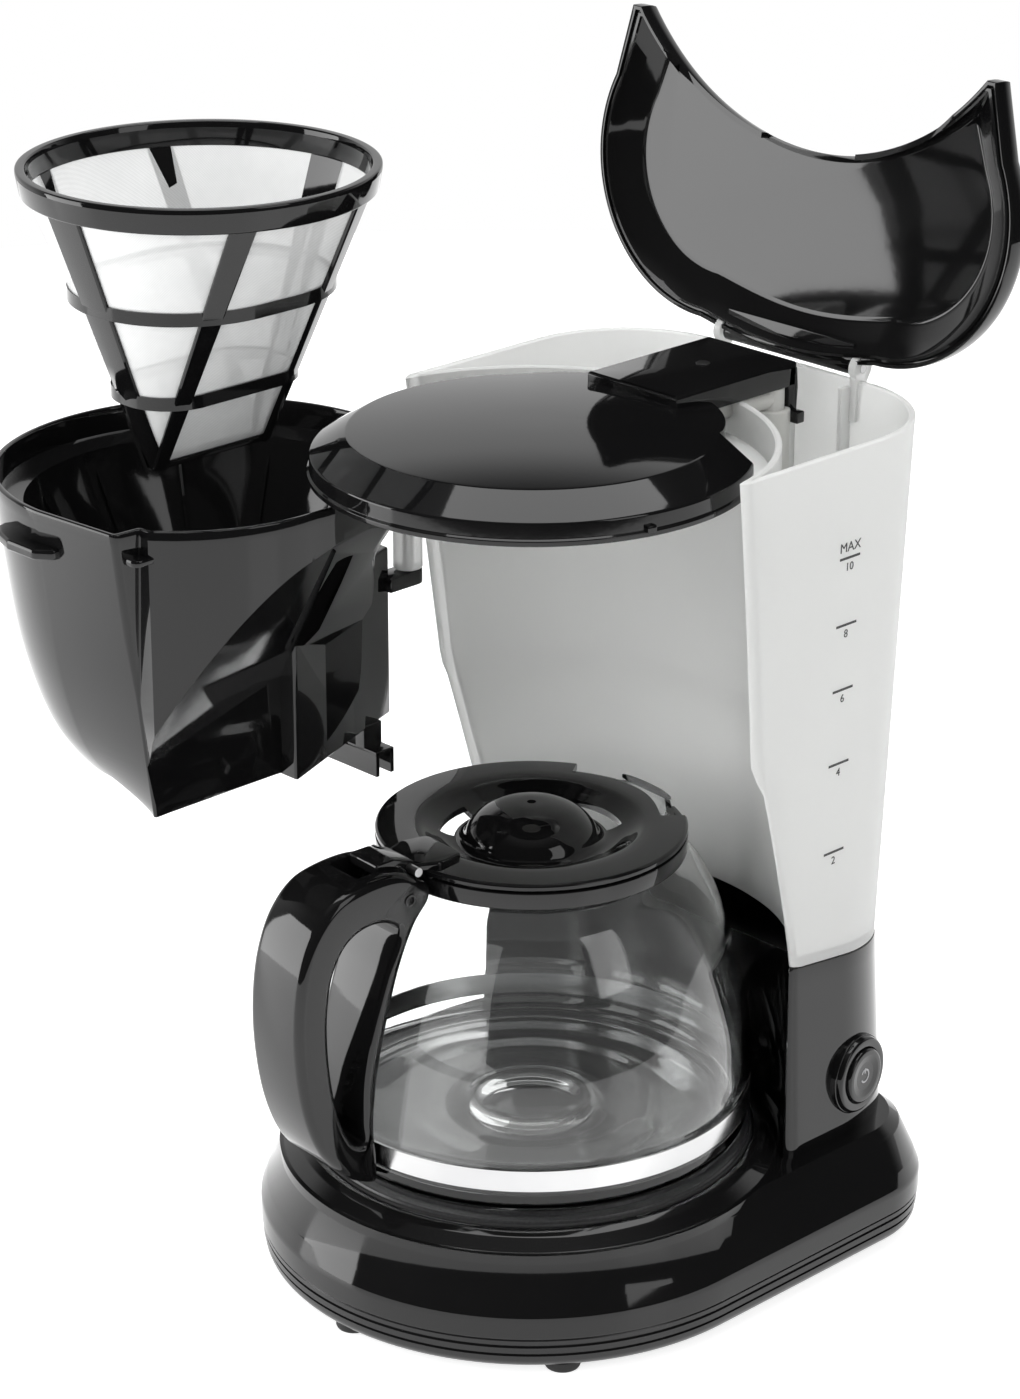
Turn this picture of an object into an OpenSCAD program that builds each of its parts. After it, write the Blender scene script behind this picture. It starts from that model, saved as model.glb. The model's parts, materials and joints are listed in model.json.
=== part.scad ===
// Drip coffee maker with a swing-out filter basket, a glass carafe and a crescent tank lid.
// Millimetres. +Z is up, the handle points to -Y and the switch is on +X.
// The origin is on the table, under the centre of the hot plate.

/* [Base] */
// Radius of the round front of the base, and half its width
base_r = 91.5; // [90:0.5:94]
// Distance from the hot plate's centre to the rear of the base
base_rear = 118; // [117:0.5:122]
// Radius of the two rear corners of the base
base_corner = 36; // [30:1:40]
// Height of the rubber feet
foot_h = 3.5; // [2.5:0.5:5]
// Radius of a rubber foot
foot_r = 6; // [5:0.5:7]
// Height of the seam between the bottom plate and the housing
seam_z = 15; // [14:0.5:17]
// Height of the flat deck of the base
deck_z = 42; // [42:0.5:44]
// Wall of the black mouldings
wall = 2.4; // [2:0.1:2.8]

/* [Hot plate] */
// Radius of the heated disc
plate_r = 69; // [67:0.5:70]
// Height of the disc's top above the table
plate_top = 49.7; // [49.2:0.1:50.2]
// Thickness of the disc
plate_t = 3; // [2.5:0.1:3.5]
// Radius of the heating tube
heater_r = 4; // [3.5:0.25:4.5]
// Radius of the heating tube's ring
heater_ring = 48; // [46:0.5:50]

/* [Column and tank] */
// Radius of the concave front of the column
bay_r = 86; // [85:0.5:88]
// Radius of the concave wall behind the filter basket
niche_r = 76.5; // [76.5:0.25:78]
// Half width of the column at its top
shaft_half = 72.5; // [71.5:0.25:73.5]
// Half width of the tank at its rim
rim_half = 77.5; // [77:0.25:79]
// Distance from the origin to the rear of the tank's rim
rim_rear = 121; // [120:0.5:123]
// Height of the tank's rim
rim_z = 288; // [286:0.5:292]
// Height of the seam under the tank, at the column's axis plane
tank_z = 108; // [106:0.5:110]
// Slope of that seam, falling to the rear
tank_tilt = 6.8; // [4:0.2:8]
// Wall of the tank
tank_wall = 2.2; // [1.8:0.1:2.6]

/* [Cover and lid] */
// Radius of the front cover's rim
cover_r = 71.4; // [70.5:0.1:72]
// Radius of the raised disc on the cover
disc_r = 59; // [57:0.5:60]
// Height of the lower edge of the cover's rim
cover_z = 277; // [276.5:0.5:278]
// Width of the spray arm
arm_w = 40; // [36:1:44]
// Distance from the origin to the end of the spray arm
arm_rear = 102; // [98:1:106]
// Height of the lid hinge above the tank's rim
hinge_rise = 4; // [4:0.25:5]
// How far the tank lid stands open, in degrees
lid_open = 94; // [90:1:98]
// Thickness of the tank lid over its rim
lid_t = 10.4; // [10:0.2:12]
// Radius of the lid's concave edge
lid_bite = 97; // [95:0.5:100]

/* [Filter basket] */
// Radius of the basket's rim
basket_r = 69.5; // [68:0.25:70]
// Height of the basket's rim
basket_top = 272.5; // [271:0.25:273]
// Height of the basket's floor
basket_floor = 173; // [172:0.5:175]
// Wall of the basket
basket_wall = 2; // [1.6:0.1:2.4]
// Radius of the filter cone at its rim
cone_r = 62; // [60:0.5:63]
// Angle by which the basket is swung out
swing = 90; // [80:1:90]
// Radius of the hinge pins
pin_r = 1.5; // [1.25:0.05:1.75]
// Radial running clearance of a pin
running = 0.05; // [0.03:0.01:0.08]
// Lift of the drip valve
valve_lift = 4; // [3:0.25:4.5]

/* [Permanent filter] */
// Radius of the filter's ring
ring_r = 57.5; // [55:0.5:58.5]
// Height of the filter's ring
ring_h = 8; // [6:0.5:9]
// Height of the filter from its keel to its top
filter_h = 95.5; // [85:0.5:98]
// Gap between the basket's rim and the keel of the lifted filter
filter_gap = 3.5; // [2:0.25:6]
// Length of the keel
keel = 44; // [38:1:50]

/* [Carafe] */
// Largest radius of the glass
glass_r = 74; // [73:0.25:75]
// Height of the glass from its foot to its lip
glass_h = 103.5; // [102.5:0.25:104]
// Wall of the glass
glass_wall = 2.4; // [2:0.1:3]
// Height of the steel band
band_h = 7.5; // [6:0.5:8.5]
// Radius of the carafe lid
carafe_lid_r = 51.3; // [50.5:0.1:52]
// Width of the handle
handle_w = 27; // [22:1:32]
// Reach of the handle from the carafe's axis
handle_reach = 105.5; // [103:0.5:110]
// Turn of the carafe on its plate
carafe_turn = 5; // [0:1:8]

/* [Switch] */
// Radius of the switch's bezel
bezel_r = 13.5; // [12.5:0.25:14.5]
// Radius of the push button
button_r = 9.6; // [8.5:0.1:10]
// Height of the switch's centre
switch_z = 62; // [60:0.5:66]
// Travel of the push button
button_travel = 2.5; // [1.5:0.25:3]

/* [Hidden] */
$fn = 96;

black = "#141517";
milk = "#e8e9e4";
steel = "#c9ccd0";
e = 0.01;          // thickness of the slices that a hull joins
far = 400;         // longer than anything here
fit = 0.3;         // gap between pieces that move past each other

// --- base: the same rounded outline at any inset ---
base_mid = base_rear - base_corner;   // where the rear corners are centred
corner_x = base_r - base_corner;
plate_floor = foot_h + wall;

// A solid of the base's outline, from a list of [inset, height] along its edge, bottom first.
module base_form(edge) {
    last = len(edge) - 1;
    right = [for (p = edge) [base_r - p[0], p[1]]];
    left = [for (i = [last:-1:0]) [-right[i][0], right[i][1]]];
    rear = [for (p = edge) [base_rear - p[0], p[1]]];
    round_r = [for (p = edge) [base_corner - p[0], p[1]]];
    bottom = edge[0][1];
    top = edge[last][1];
    rotate_extrude() polygon(concat([[0, bottom]], right, [[0, top]]));
    translate([0, base_mid, 0]) rotate([90, 0, 0]) linear_extrude(base_mid)
        polygon(concat(right, left));
    for (s = [-1, 1]) translate([s * corner_x, base_mid, 0])
        rotate_extrude() polygon(concat([[0, bottom]], round_r, [[0, top]]));
    translate([-corner_x, 0, 0]) rotate([90, 0, 90]) linear_extrude(2 * corner_x)
        polygon(concat([[0, bottom]], rear, [[0, top]]));
}

// --- column and tank: one tapering shaft in two materials ---
function mix(a, b, t) = a + (b - a) * t;
shaft_corner = 42;
foot_half = shaft_half + 2.5;
shaft_rear = rim_rear - 5;
shaft_front = 44;
crease_z = 183;
function tank_t(z) = (z - tank_z) / (rim_z - tank_z);
function tank_half(z) = mix(shaft_half, rim_half, tank_t(z));
function tank_rear(z) = mix(shaft_rear, rim_rear, tank_t(z));
function column_t(z) = (z - deck_z) / (tank_z - deck_z);
function column_half(z) = mix(foot_half, shaft_half, column_t(z));
function column_rear(z) = mix(shaft_rear + 2.5, shaft_rear, column_t(z));

// A thin slice of the shaft at height z.
module shaft_slice(z, half, front, rear, inset) {
    nose = 8;
    translate([0, 0, z]) linear_extrude(e) {
        for (s = [-1, 1]) {
            translate([s * (half - shaft_corner), rear - shaft_corner])
                circle(shaft_corner - inset);
            translate([s * (half - nose), front + nose]) circle(nose - inset, $fn = 32);
        }
    }
}

module column_solid(inset, low, high) {
    hull() for (z = [low, high])
        shaft_slice(z, column_half(z), shaft_front, column_rear(z), inset);
}

module tank_solid(inset, low, high) {
    hull() {
        shaft_slice(low, tank_half(low), 50, tank_rear(low), inset);
        shaft_slice(crease_z, tank_half(crease_z), 25, tank_rear(crease_z), inset);
        shaft_slice(high, tank_half(high), 12, tank_rear(high), inset);
    }
}

// The space in front of the column: the carafe's bay below, the basket's niche above.
module bay(grow) {
    rotate_extrude() polygon([[0, deck_z - 20], [bay_r + grow, deck_z - 20],
        [bay_r + grow, 113], [niche_r + 3 + grow, crease_z - 2],
        [niche_r + grow, crease_z + 2], [niche_r + grow, rim_z + 20], [0, rim_z + 20]]);
}

// Everything above the sloping seam, raised by the given amount.
seam_y = 75;
module above_seam(rise = 0) {
    translate([0, seam_y, tank_z + rise]) rotate([-tank_tilt, 0, 0])
        translate([-far / 2, -far / 2, 0]) cube(far);
}

// --- switch place: on the round corner of the column ---
switch_turn = 8;
switch_centre = [column_half(switch_z) - shaft_corner, column_rear(switch_z) - shaft_corner, switch_z];
switch_face = shaft_corner + 0.6;
module at_switch() {
    translate(switch_centre) rotate([0, 0, switch_turn]) rotate([0, 90, 0]) children();
}

// --- screw places ---
base_screw_at = [[-70, 68], [70, 68], [-54, -50], [54, -50]];
base_screw_r = 1.25;
base_head_r = 3.2;
foot_at = [[0, -81], [65, -49], [-65, -49], [64, 92], [-64, 92]];
cover_screw_at = [[-33, 43], [33, 43]];
cover_screw_r = 1.4;

// --- heater and hoses ---
heater_z = plate_top - plate_t - 9.7 - heater_r;
casting_z = heater_z + heater_r;
stub_x = heater_ring * sin(20);
stub_y = heater_ring * cos(20);
stub_end = 66;
hose_r = heater_r + 1.5;
hose_y = 94;
hose_bend = 12;
port_z = 98;                     // where the hoses end on the tank's ports
gland_at = [-44, base_rear, 27];
gland_bore = 3.4;
gland_r = 5;
gland_boss = 8;

module housing() {
    color(black) difference() {
        union() {
            difference() {
                base_form([[0, seam_z], [0, 22], [2, 26.5], [8.5, deck_z - 2], [11, deck_z]]);
                base_form([[wall, seam_z - 1], [wall, 21.5], [wall + 2, 25.5],
                    [wall + 8, deck_z - wall - 1.6], [wall + 10, deck_z - wall]]);
            }
            // raised ring round the hot plate
            rotate_extrude() polygon([[plate_r - 3, deck_z - wall], [84, deck_z - wall],
                [84, deck_z], [79.5, deck_z + 3.6], [77, deck_z + 5], [seal_out + 0.5, deck_z + 5],
                [seal_out + 0.5, seal_z], [plate_r - 3, seal_z]]);
            // column
            difference() {
                column_solid(0, deck_z - wall, tank_z + 12);
                bay(0);
                above_seam();
            }
            // flat seat under the switch's bezel
            intersection() {
                at_switch() translate([0, 0, 30]) cylinder(r = bezel_r + 0.5, h = switch_face - 30);
                translate([0, 0, deck_z]) cylinder(r = far, h = 60);
            }
            for (p = base_screw_at) translate([p[0], p[1], seam_z])
                cylinder(r = 4, h = deck_z - wall - seam_z + 0.5, $fn = 32);
            // flat boss for the cord's gland
            translate(gland_at) rotate([90, 0, 0]) cylinder(r = 8.5, h = gland_boss);
        }
        // hollow column, open to the base and to the tank's floor
        difference() {
            column_solid(wall, deck_z - wall - 1, tank_z + 14);
            bay(wall);
        }
        translate([0, 0, deck_z - 12]) cylinder(r = plate_r - 3, h = 20);
        at_switch() translate([0, 0, 20]) cylinder(r = bezel_barrel + 0.1, h = 40);
        for (p = base_screw_at) translate([p[0], p[1], seam_z - 1])
            cylinder(r = base_screw_r, h = 10, $fn = 32);
        translate(gland_at) rotate([90, 0, 0]) translate([0, 0, -5]) cylinder(r = gland_r, h = 20);
    }
}

module base_plate() {
    groove = 0.9;
    color(black) difference() {
        base_form([[5, foot_h], [2, foot_h + 2], [1, foot_h + 3.5], [1, seam_z - 6.4],
            [1 + groove, seam_z - 6.2], [1 + groove, seam_z - 5.4], [0.6, seam_z - 5.2],
            [0.6, seam_z - 3.2], [0.6 + groove, seam_z - 3], [0.6 + groove, seam_z - 2.2],
            [0.3, seam_z - 2], [0.3, seam_z]]);
        base_form([[5 + wall, plate_floor], [2 + wall, plate_floor + 2], [2 + wall, seam_z + 1]]);
        for (p = base_screw_at) translate([p[0], p[1], 0]) {
            cylinder(r = base_screw_r + 0.4, h = far / 10, $fn = 32);
            cylinder(r = base_head_r + 0.3, h = foot_h + 1, $fn = 32);
        }
    }
    color(black) difference() {
        for (p = base_screw_at) translate([p[0], p[1], foot_h + 1])
            cylinder(r = 5, h = seam_z - foot_h - 1, $fn = 32);
        for (p = base_screw_at) translate([p[0], p[1], foot_h + 1]) translate([0, 0, -1])
            cylinder(r = base_screw_r + 0.4, h = seam_z, $fn = 32);
    }
}

module feet() {
    color("#2a2a2c") for (p = foot_at) translate([p[0], p[1], 0]) {
        cylinder(r1 = foot_r - 0.6, r2 = foot_r, h = 0.8);
        translate([0, 0, 0.8]) cylinder(r = foot_r, h = foot_h - 0.8);
    }
}

module base_screws() {
    color(steel) for (p = base_screw_at) translate([p[0], p[1], foot_h + 1]) {
        translate([0, 0, -2]) difference() {
            cylinder(r = base_head_r, h = 2, $fn = 32);
            for (a = [0, 90]) rotate([0, 0, a]) translate([-1.8, -0.4, -1]) cube([3.6, 0.8, 2]);
        }
        cylinder(r = base_screw_r, h = seam_z - foot_h + 6, $fn = 32);
    }
}

seal_out = plate_r + 5.5;
seal_z = deck_z + 2.5;
flange_z = plate_top - 2.5;
module plate_seal() {
    color("#1c1c1e") rotate_extrude()
        polygon([[plate_r - 2.5, seal_z], [seal_out, seal_z], [seal_out, flange_z],
            [plate_r - 2.5, flange_z]]);
}

module hot_plate() {
    under = plate_top - plate_t;
    color("#2b2b2d") difference() {
        union() {
            rotate_extrude() polygon([[0, under], [plate_r - 3, under], [plate_r - 3, flange_z],
                [seal_out - 1, flange_z], [seal_out - 1, flange_z + 1], [plate_r, flange_z + 1],
                [plate_r - 0.8, plate_top], [0, plate_top]]);
            // casting that holds the heating tube
            rotate_extrude() translate([heater_ring - 8, casting_z]) square([16, under - casting_z]);
            translate([0, 0, casting_z]) cylinder(r = 12, h = under - casting_z);
            for (s = [-1, 1]) translate([s * 30, 0, thermostat_z + 1])
                cylinder(r = 5, h = under - thermostat_z - 1, $fn = 32);
            translate([-13, 24, casting_z]) cube([26, 8, under - casting_z]);
        }
        for (s = [-1, 1]) translate([s * 30, 0, 0]) cylinder(r = strap_screw_r, h = thermostat_z + 8, $fn = 32);
    }
}

module heating_element() {
    color(steel) {
        translate([0, 0, heater_z]) rotate([0, 0, 110]) rotate_extrude(angle = 320)
            translate([heater_ring, 0]) circle(heater_r, $fn = 48);
        for (s = [-1, 1]) translate([s * stub_x, stub_y, heater_z]) {
            translate([0, -3, 0]) rotate([-90, 0, 0])
                cylinder(r = heater_r - 0.05, h = stub_end - stub_y + 3, $fn = 48);
        }
    }
}

thermostat_z = casting_z - 7;
strap_screw_r = 1.5;
module thermostat() {
    color(steel) {
        translate([0, 0, thermostat_z + 3]) cylinder(r = 8, h = 4);
        translate([0, 0, thermostat_z + 1]) cylinder(r = 6.5, h = 2);
    }
    color("#e0ded2") for (s = [-1, 1]) translate([-3, s * 8.5 - 1, thermostat_z + 3.4]) cube([6, 2, 0.8]);
}

module thermostat_strap() {
    color(steel) difference() {
        translate([-34, -5, thermostat_z]) cube([68, 10, 1]);
        for (s = [-1, 1]) translate([s * 30, 0, thermostat_z - 1]) cylinder(r = strap_screw_r, h = 3, $fn = 32);
    }
}

module strap_screws() {
    color("#b9a25e") for (s = [-1, 1]) translate([s * 30, 0, thermostat_z]) {
        cylinder(r = strap_screw_r, h = 7, $fn = 32);
        translate([0, 0, -1.6]) cylinder(r = 2.8, h = 1.6, $fn = 32);
    }
}

module thermal_fuse() {
    color("#e0ded2") translate([-10, 28, casting_z - 2.5]) rotate([0, 90, 0]) cylinder(r = 2.5, h = 20, $fn = 32);
    color(steel) for (s = [-1, 1]) translate([s * 10, 28, casting_z - 2.5]) rotate([0, s * 90, 0])
        cylinder(r = 0.6, h = 9, $fn = 16);
}

// A hose from a heater stub to a tank port: along +Y, round a bend and up.
module hose(x, top) {
    color("#d8d8d2") difference() {
        hose_solid(x, top, hose_r, 0);
        hose_solid(x, top, heater_r, 1);
    }
}
module hose_solid(x, top, r, over) {
    start = stub_end - 8;
    translate([x, start - over, heater_z]) rotate([-90, 0, 0])
        cylinder(r = r, h = hose_y - hose_bend - start + over, $fn = 48);
    translate([x, hose_y - hose_bend, heater_z + hose_bend]) rotate([0, 90, 0])
        rotate_extrude(angle = 90) translate([hose_bend, 0]) circle(r, $fn = 48);
    translate([x, hose_y, heater_z + hose_bend])
        cylinder(r = r, h = top - heater_z - hose_bend + over, $fn = 48);
}
valve_low = port_z - 22;
module inlet_hose() hose(-stub_x, valve_low + 6);
module outlet_hose() hose(stub_x, port_z + 6);

// Wire clips round the hose ends.
module clip(r) {
    color(steel) rotate([0, 0, 20]) rotate_extrude(angle = 320) translate([r, 0]) square([0.9, 3]);
}
module hose_clips() {
    for (s = [-1, 1]) translate([s * stub_x, stub_end - 2, heater_z]) rotate([90, 0, 0]) clip(hose_r);
    translate([stub_x, hose_y, port_z + 1]) clip(hose_r);
    translate([-stub_x, hose_y, valve_low + 2]) clip(hose_r);
}

module check_valve() {
    color("#f2f2ee") translate([-stub_x, hose_y, 0]) difference() {
        union() {
            translate([0, 0, valve_low - 2]) cylinder(r = heater_r, h = 8, $fn = 48);
            translate([0, 0, valve_low + 6]) cylinder(r = hose_r + 1, h = port_z - valve_low);
        }
        translate([0, 0, valve_low - 3]) cylinder(r = heater_r - 1.4, h = 40, $fn = 48);
        translate([0, 0, port_z]) cylinder(r = heater_r, h = 10, $fn = 48);
    }
}

module terminal_block() {
    color("#e9e6da") difference() {
        translate([20, 98, plate_floor]) cube([30, 12, 11]);
        for (i = [0:2]) translate([25 + i * 10, 104, plate_floor + 6]) cylinder(r = 2.2, h = 10, $fn = 32);
    }
}

module terminal_screws() {
    color("#b9a25e") for (i = [0:2]) translate([25 + i * 10, 104, plate_floor + 6]) cylinder(r = 2.2, h = 4, $fn = 32);
}

module cord_gland() {
    color("#1c1c1e") translate(gland_at) rotate([90, 0, 0]) difference() {
        union() {
            translate([0, 0, -3]) cylinder(r = 7.5, h = 3);
            cylinder(r = gland_r, h = gland_boss + 3);
            translate([0, 0, gland_boss + 0.1]) cylinder(r = gland_r + 1.2, h = 2);
        }
        translate([0, 0, -4]) cylinder(r = gland_bore, h = 20);
    }
}

// --- basket hinge ---
pivot = [-74, 14];
pivot_boss = 5;
boss_low = 222;
boss_high = 262;
lug_t = 5.5;

// --- tank ---
flange_in = 50;
flange_top = cover_z - 0.4;
hinge_y = rim_rear;
hinge_z = rim_z + hinge_rise;
lug_x = 29;
lug_w = 3;
riser_top = cover_z + 4;
module water_tank() {
    color(milk, 0.6) difference() {
        union() {
            difference() {
                tank_solid(0, tank_z - 12, rim_z + 2);
                bay(0);
                // the rim, cut level
                translate([-far / 2, -far / 2, rim_z]) cube(far);
            }
            // shelf that carries the front cover
            intersection() {
                translate([0, 0, flange_top - 2]) difference() {
                    cylinder(r = niche_r + 1, h = 2);
                    translate([0, 0, -1]) cylinder(r = flange_in, h = 4);
                }
                translate([-far / 2, 38, 0]) cube(far);
            }
            // boss of the basket's hinge
            translate([pivot[0], pivot[1], boss_low]) cylinder(r = pivot_boss, h = boss_high - boss_low);
            // ears of the lid's hinge
            for (s = [-1, 1]) translate([s * (lug_x + lug_w / 2), 0, 0]) lid_ear();
        }
        difference() {
            tank_solid(tank_wall, tank_z - 14, rim_z + 4);
            bay(tank_wall);
            difference() {
                translate([-far / 2, -far / 2, 0]) cube(far);
                above_seam(tank_wall + 0.4);
            }
        }
        difference() {
            translate([-far / 2, -far / 2, -far / 2]) cube([far, far, far / 2 + tank_z + 20]);
            above_seam();
        }
        for (z = [boss_low - lug_t - 0.6, boss_high]) translate([pivot[0], pivot[1], z])
            cylinder(r = pivot_boss + 0.6, h = lug_t + 0.6);
        translate([pivot[0], pivot[1], boss_low - 1]) cylinder(r = pin_r + running, h = 60, $fn = 48);
        for (s = [-1, 1]) translate([s * stub_x, hose_y, port_z]) cylinder(r = heater_r - 1.4, h = 30, $fn = 48);
        // notches in the rim for the arm and the duct
        arm_room();
        duct_run(duct_r + 0.3);
        rotate([0, 0, duct_angle]) translate([0, -duct_r - 0.3, duct_z]) cube([duct_len, 2 * duct_r + 0.6, 10]);
        for (p = cover_screw_at) translate([p[0], p[1], flange_top - 9])
            cylinder(r = cover_screw_r, h = 12, $fn = 32);
    }
    // ports under the floor
    color(milk, 0.6) difference() {
        for (s = [-1, 1]) translate([s * stub_x, hose_y, port_z]) cylinder(r = heater_r, h = tank_z - port_z, $fn = 48);
        for (s = [-1, 1]) translate([s * stub_x, hose_y, port_z - 1]) cylinder(r = heater_r - 1.4, h = 30, $fn = 48);
        above_seam();
    }
}

module lid_ear() {
    rotate([0, 90, 0]) translate([0, 0, -lug_w / 2]) linear_extrude(lug_w) difference() {
        union() {
            translate([-hinge_z, hinge_y]) circle(4, $fn = 48);
            translate([-hinge_z, hinge_y - 4]) square([hinge_rise + 14, 4]);
            translate([-hinge_z, hinge_y - 1]) square([hinge_rise, 5]);
        }
        translate([-hinge_z, hinge_y]) circle(pin_r + running, $fn = 48);
    }
}

module riser_tube() {
    color("#dcdcd6") difference() {
        translate([stub_x, hose_y, tank_z + 1.5]) cylinder(r = heater_r + 2, h = riser_top - tank_z - 1.5);
        translate([stub_x, hose_y, tank_z - 10]) cylinder(r = heater_r, h = far, $fn = 48);
    }
}

mark_at = [148.5, 180, 206, 228.5, 251.5];   // heights of the level lines
module level_marks() {
    lean = atan((rim_half - shaft_half) / (rim_z - tank_z));
    color("#3a3d42") for (z = mark_at) {
        translate([tank_half(z), 64, z]) rotate([0, lean, 0]) translate([0, -5, -0.4]) cube([0.2, 10, 0.8]);
    }
}

// --- front cover, spray arm and lid ---
disc_rise = 14;
disc_z = cover_z + disc_rise;
module front_cover() {
    skin = 2;
    color(black) difference() {
        union() {
            difference() {
                rotate_extrude() polygon([[0, cover_z], [cover_r, cover_z], [cover_r, cover_z + 1.6],
                    [cover_r - 0.8, cover_z + 2], [cover_r - 0.8, cover_z + 7], [disc_r, disc_z],
                    [30, disc_z + 3], [0, disc_z + 4]]);
                translate([-far / 2, 40, 0]) cube(far);
            }
            rotate_extrude() polygon([[0, flange_top + 0.1], [disc_r, flange_top + 0.1], [disc_r, disc_z],
                [30, disc_z + 3], [0, disc_z + 4]]);
        }
        difference() {
            rotate_extrude() polygon([[0, cover_z - 2], [cover_r - skin, cover_z - 2],
                [cover_r - skin, cover_z + 6], [disc_r - 1, disc_z - skin], [30, disc_z + 3 - skin],
                [0, disc_z + 4 - skin]]);
            difference() {
                translate([-far / 2, 40 - skin, 0]) cube(far);
                cylinder(r = disc_r - skin, h = far);
            }
            for (p = cover_screw_at) translate([p[0], p[1], flange_top - 1])
                cylinder(r = 4, h = 30, $fn = 32);
        }
        for (p = cover_screw_at) translate([p[0], p[1], flange_top - 1])
            cylinder(r = cover_screw_r, h = 10, $fn = 32);
        duct_run(duct_r + 0.3);
        arm_room();
    }
}

arm_z = cover_z + 11;
arm_top = disc_z + 5;
arm_front = 46.2;       // where the arm starts on the disc
arm_screw_at = [0, 78];
arm_screw_r = 1.4;
// The space that the arm takes, cut out of what it lies across.
module arm_room() {
    translate([-arm_w / 2 - 0.2, arm_front - 0.2, arm_z]) cube([arm_w + 0.4, arm_rear - arm_front + 0.4, far]);
}
hook_w = 8;
hook_t = 1.6;
hook_drop = 12;
module spray_arm() {
    skin = 2;
    color(black) difference() {
        union() {
            translate([-arm_w / 2, arm_front, arm_z]) cube([arm_w, arm_rear - arm_front, arm_top - arm_z]);
            // snap hook at the rear right corner
            translate([arm_w / 2 - hook_w, arm_rear - hook_t, arm_z - hook_drop]) cube([hook_w, hook_t, hook_drop + 8]);
            translate([arm_w / 2 - 2, arm_rear - hook_t, arm_z - hook_drop]) cube([6, hook_t, 4]);
        }
        translate([-arm_w / 2 + skin, arm_front + skin, arm_z - 1])
            cube([arm_w - 2 * skin, arm_rear - arm_front - 2 * skin, arm_top - arm_z + 1 - skin]);
        translate([arm_screw_at[0], arm_screw_at[1], arm_z]) cylinder(r = arm_screw_r, h = 20, $fn = 32);
    }
    // post that stands on the duct
    color(black) difference() {
        translate([arm_screw_at[0], arm_screw_at[1], duct_z + duct_r])
            cylinder(r = 3.5, h = arm_top - skin - duct_z - duct_r, $fn = 32);
        translate(arm_screw_at) cylinder(r = arm_screw_r, h = far, $fn = 32);
    }
}

module arm_screw() {
    color(steel) translate(arm_screw_at) {
        translate([0, 0, duct_z + duct_r]) cylinder(r = arm_screw_r, h = arm_top - duct_z - duct_r, $fn = 32);
        translate([0, 0, arm_top]) cylinder(r = 2.6, h = 0.8, $fn = 32);
    }
}

duct_r = 3.5;
duct_z = cover_z + 7.5;
duct_angle = atan2(hose_y, stub_x);
duct_len = norm([stub_x, hose_y]);
// The water's way from the riser to the centre of the cover.
module duct_run(r) {
    rotate([0, 0, duct_angle]) translate([0, 0, duct_z]) rotate([0, 90, 0])
        cylinder(r = r, h = duct_len, $fn = 48);
}
module spray_duct() {
    bore = duct_r - 1.2;
    color("#dcdcd6") difference() {
        union() {
            duct_run(duct_r);
            translate([stub_x, hose_y, riser_top - 12])
                cylinder(r = heater_r, h = arm_z - riser_top + 12, $fn = 48);
            translate([0, 0, head_top]) cylinder(r = heater_r, h = arm_z - head_top, $fn = 48);
            translate([0, 0, head_top - 1]) cylinder(r = duct_r, h = 2, $fn = 48);
            translate([stub_x - 3, hose_y - 2, arm_z - 1]) cube([4, 4, arm_top - 1 - arm_z]);
        }
        duct_run(bore);
        translate([stub_x, hose_y, riser_top - 13]) cylinder(r = bore, h = duct_z - riser_top + 13, $fn = 48);
        translate([0, 0, head_top - 2]) cylinder(r = bore, h = duct_z - head_top + 2, $fn = 48);
    }
}

head_top = cover_z + 2.5;
head_r = 22;
head_wall = 1.5;
module spray_head() {
    color("#d0d0ca") difference() {
        translate([0, 0, cover_z - 1.5]) cylinder(r = head_r, h = head_top - cover_z + 1.5);
        translate([0, 0, cover_z - 0.3]) cylinder(r = head_r - head_wall, h = head_top - cover_z - 1);
        translate([0, 0, cover_z]) cylinder(r = duct_r, h = 10, $fn = 48);
        for (a = [0:60:300]) rotate([0, 0, a]) translate([13, 0, cover_z - 3]) cylinder(r = 1.5, h = 4, $fn = 32);
        for (a = [30:120:270]) rotate([0, 0, a]) translate([6, 0, cover_z - 3]) cylinder(r = 1.5, h = 4, $fn = 32);
    }
}

module cover_screws() {
    color(steel) for (p = cover_screw_at) translate([p[0], p[1], flange_top - 2]) {
        cylinder(r = cover_screw_r, h = 9, $fn = 32);
        translate([0, 0, -1.4]) cylinder(r = 2.8, h = 1.4, $fn = 32);
    }
}

// The lid is drawn shut and then turned up about its hinge.
module at_lid() {
    translate([0, hinge_y, hinge_z]) rotate([-lid_open, 0, 0]) translate([0, -hinge_y, -hinge_z]) children();
}
lid_low = rim_z + 0.6;
lid_rear = rim_rear + 2;
lid_front = 18;                  // where its sides end, in front
lid_half = rim_half + 13.7;      // half width where it is widest
lid_mid = 66;                    // and how far back that is
lid_corner = 52;                 // radius of its rear corners
bite_low = 54;                   // how far back the concave edge goes
module lid_plan(inset) {
    side = lid_half - lid_corner;
    right = [[lid_half - 11.7 - inset, lid_front + inset], [lid_half - inset, lid_mid],
        [side, lid_mid + lid_corner - inset]];
    left = [for (i = [2:-1:0]) [-right[i][0], right[i][1]]];
    difference() {
        union() {
            for (s = [-1, 1]) translate([s * side, lid_mid]) circle(lid_corner - inset);
            polygon(concat(right, [[0, lid_rear - inset]], left));
        }
        translate([0, bite_low - lid_bite]) circle(lid_bite + inset);
    }
}
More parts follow.
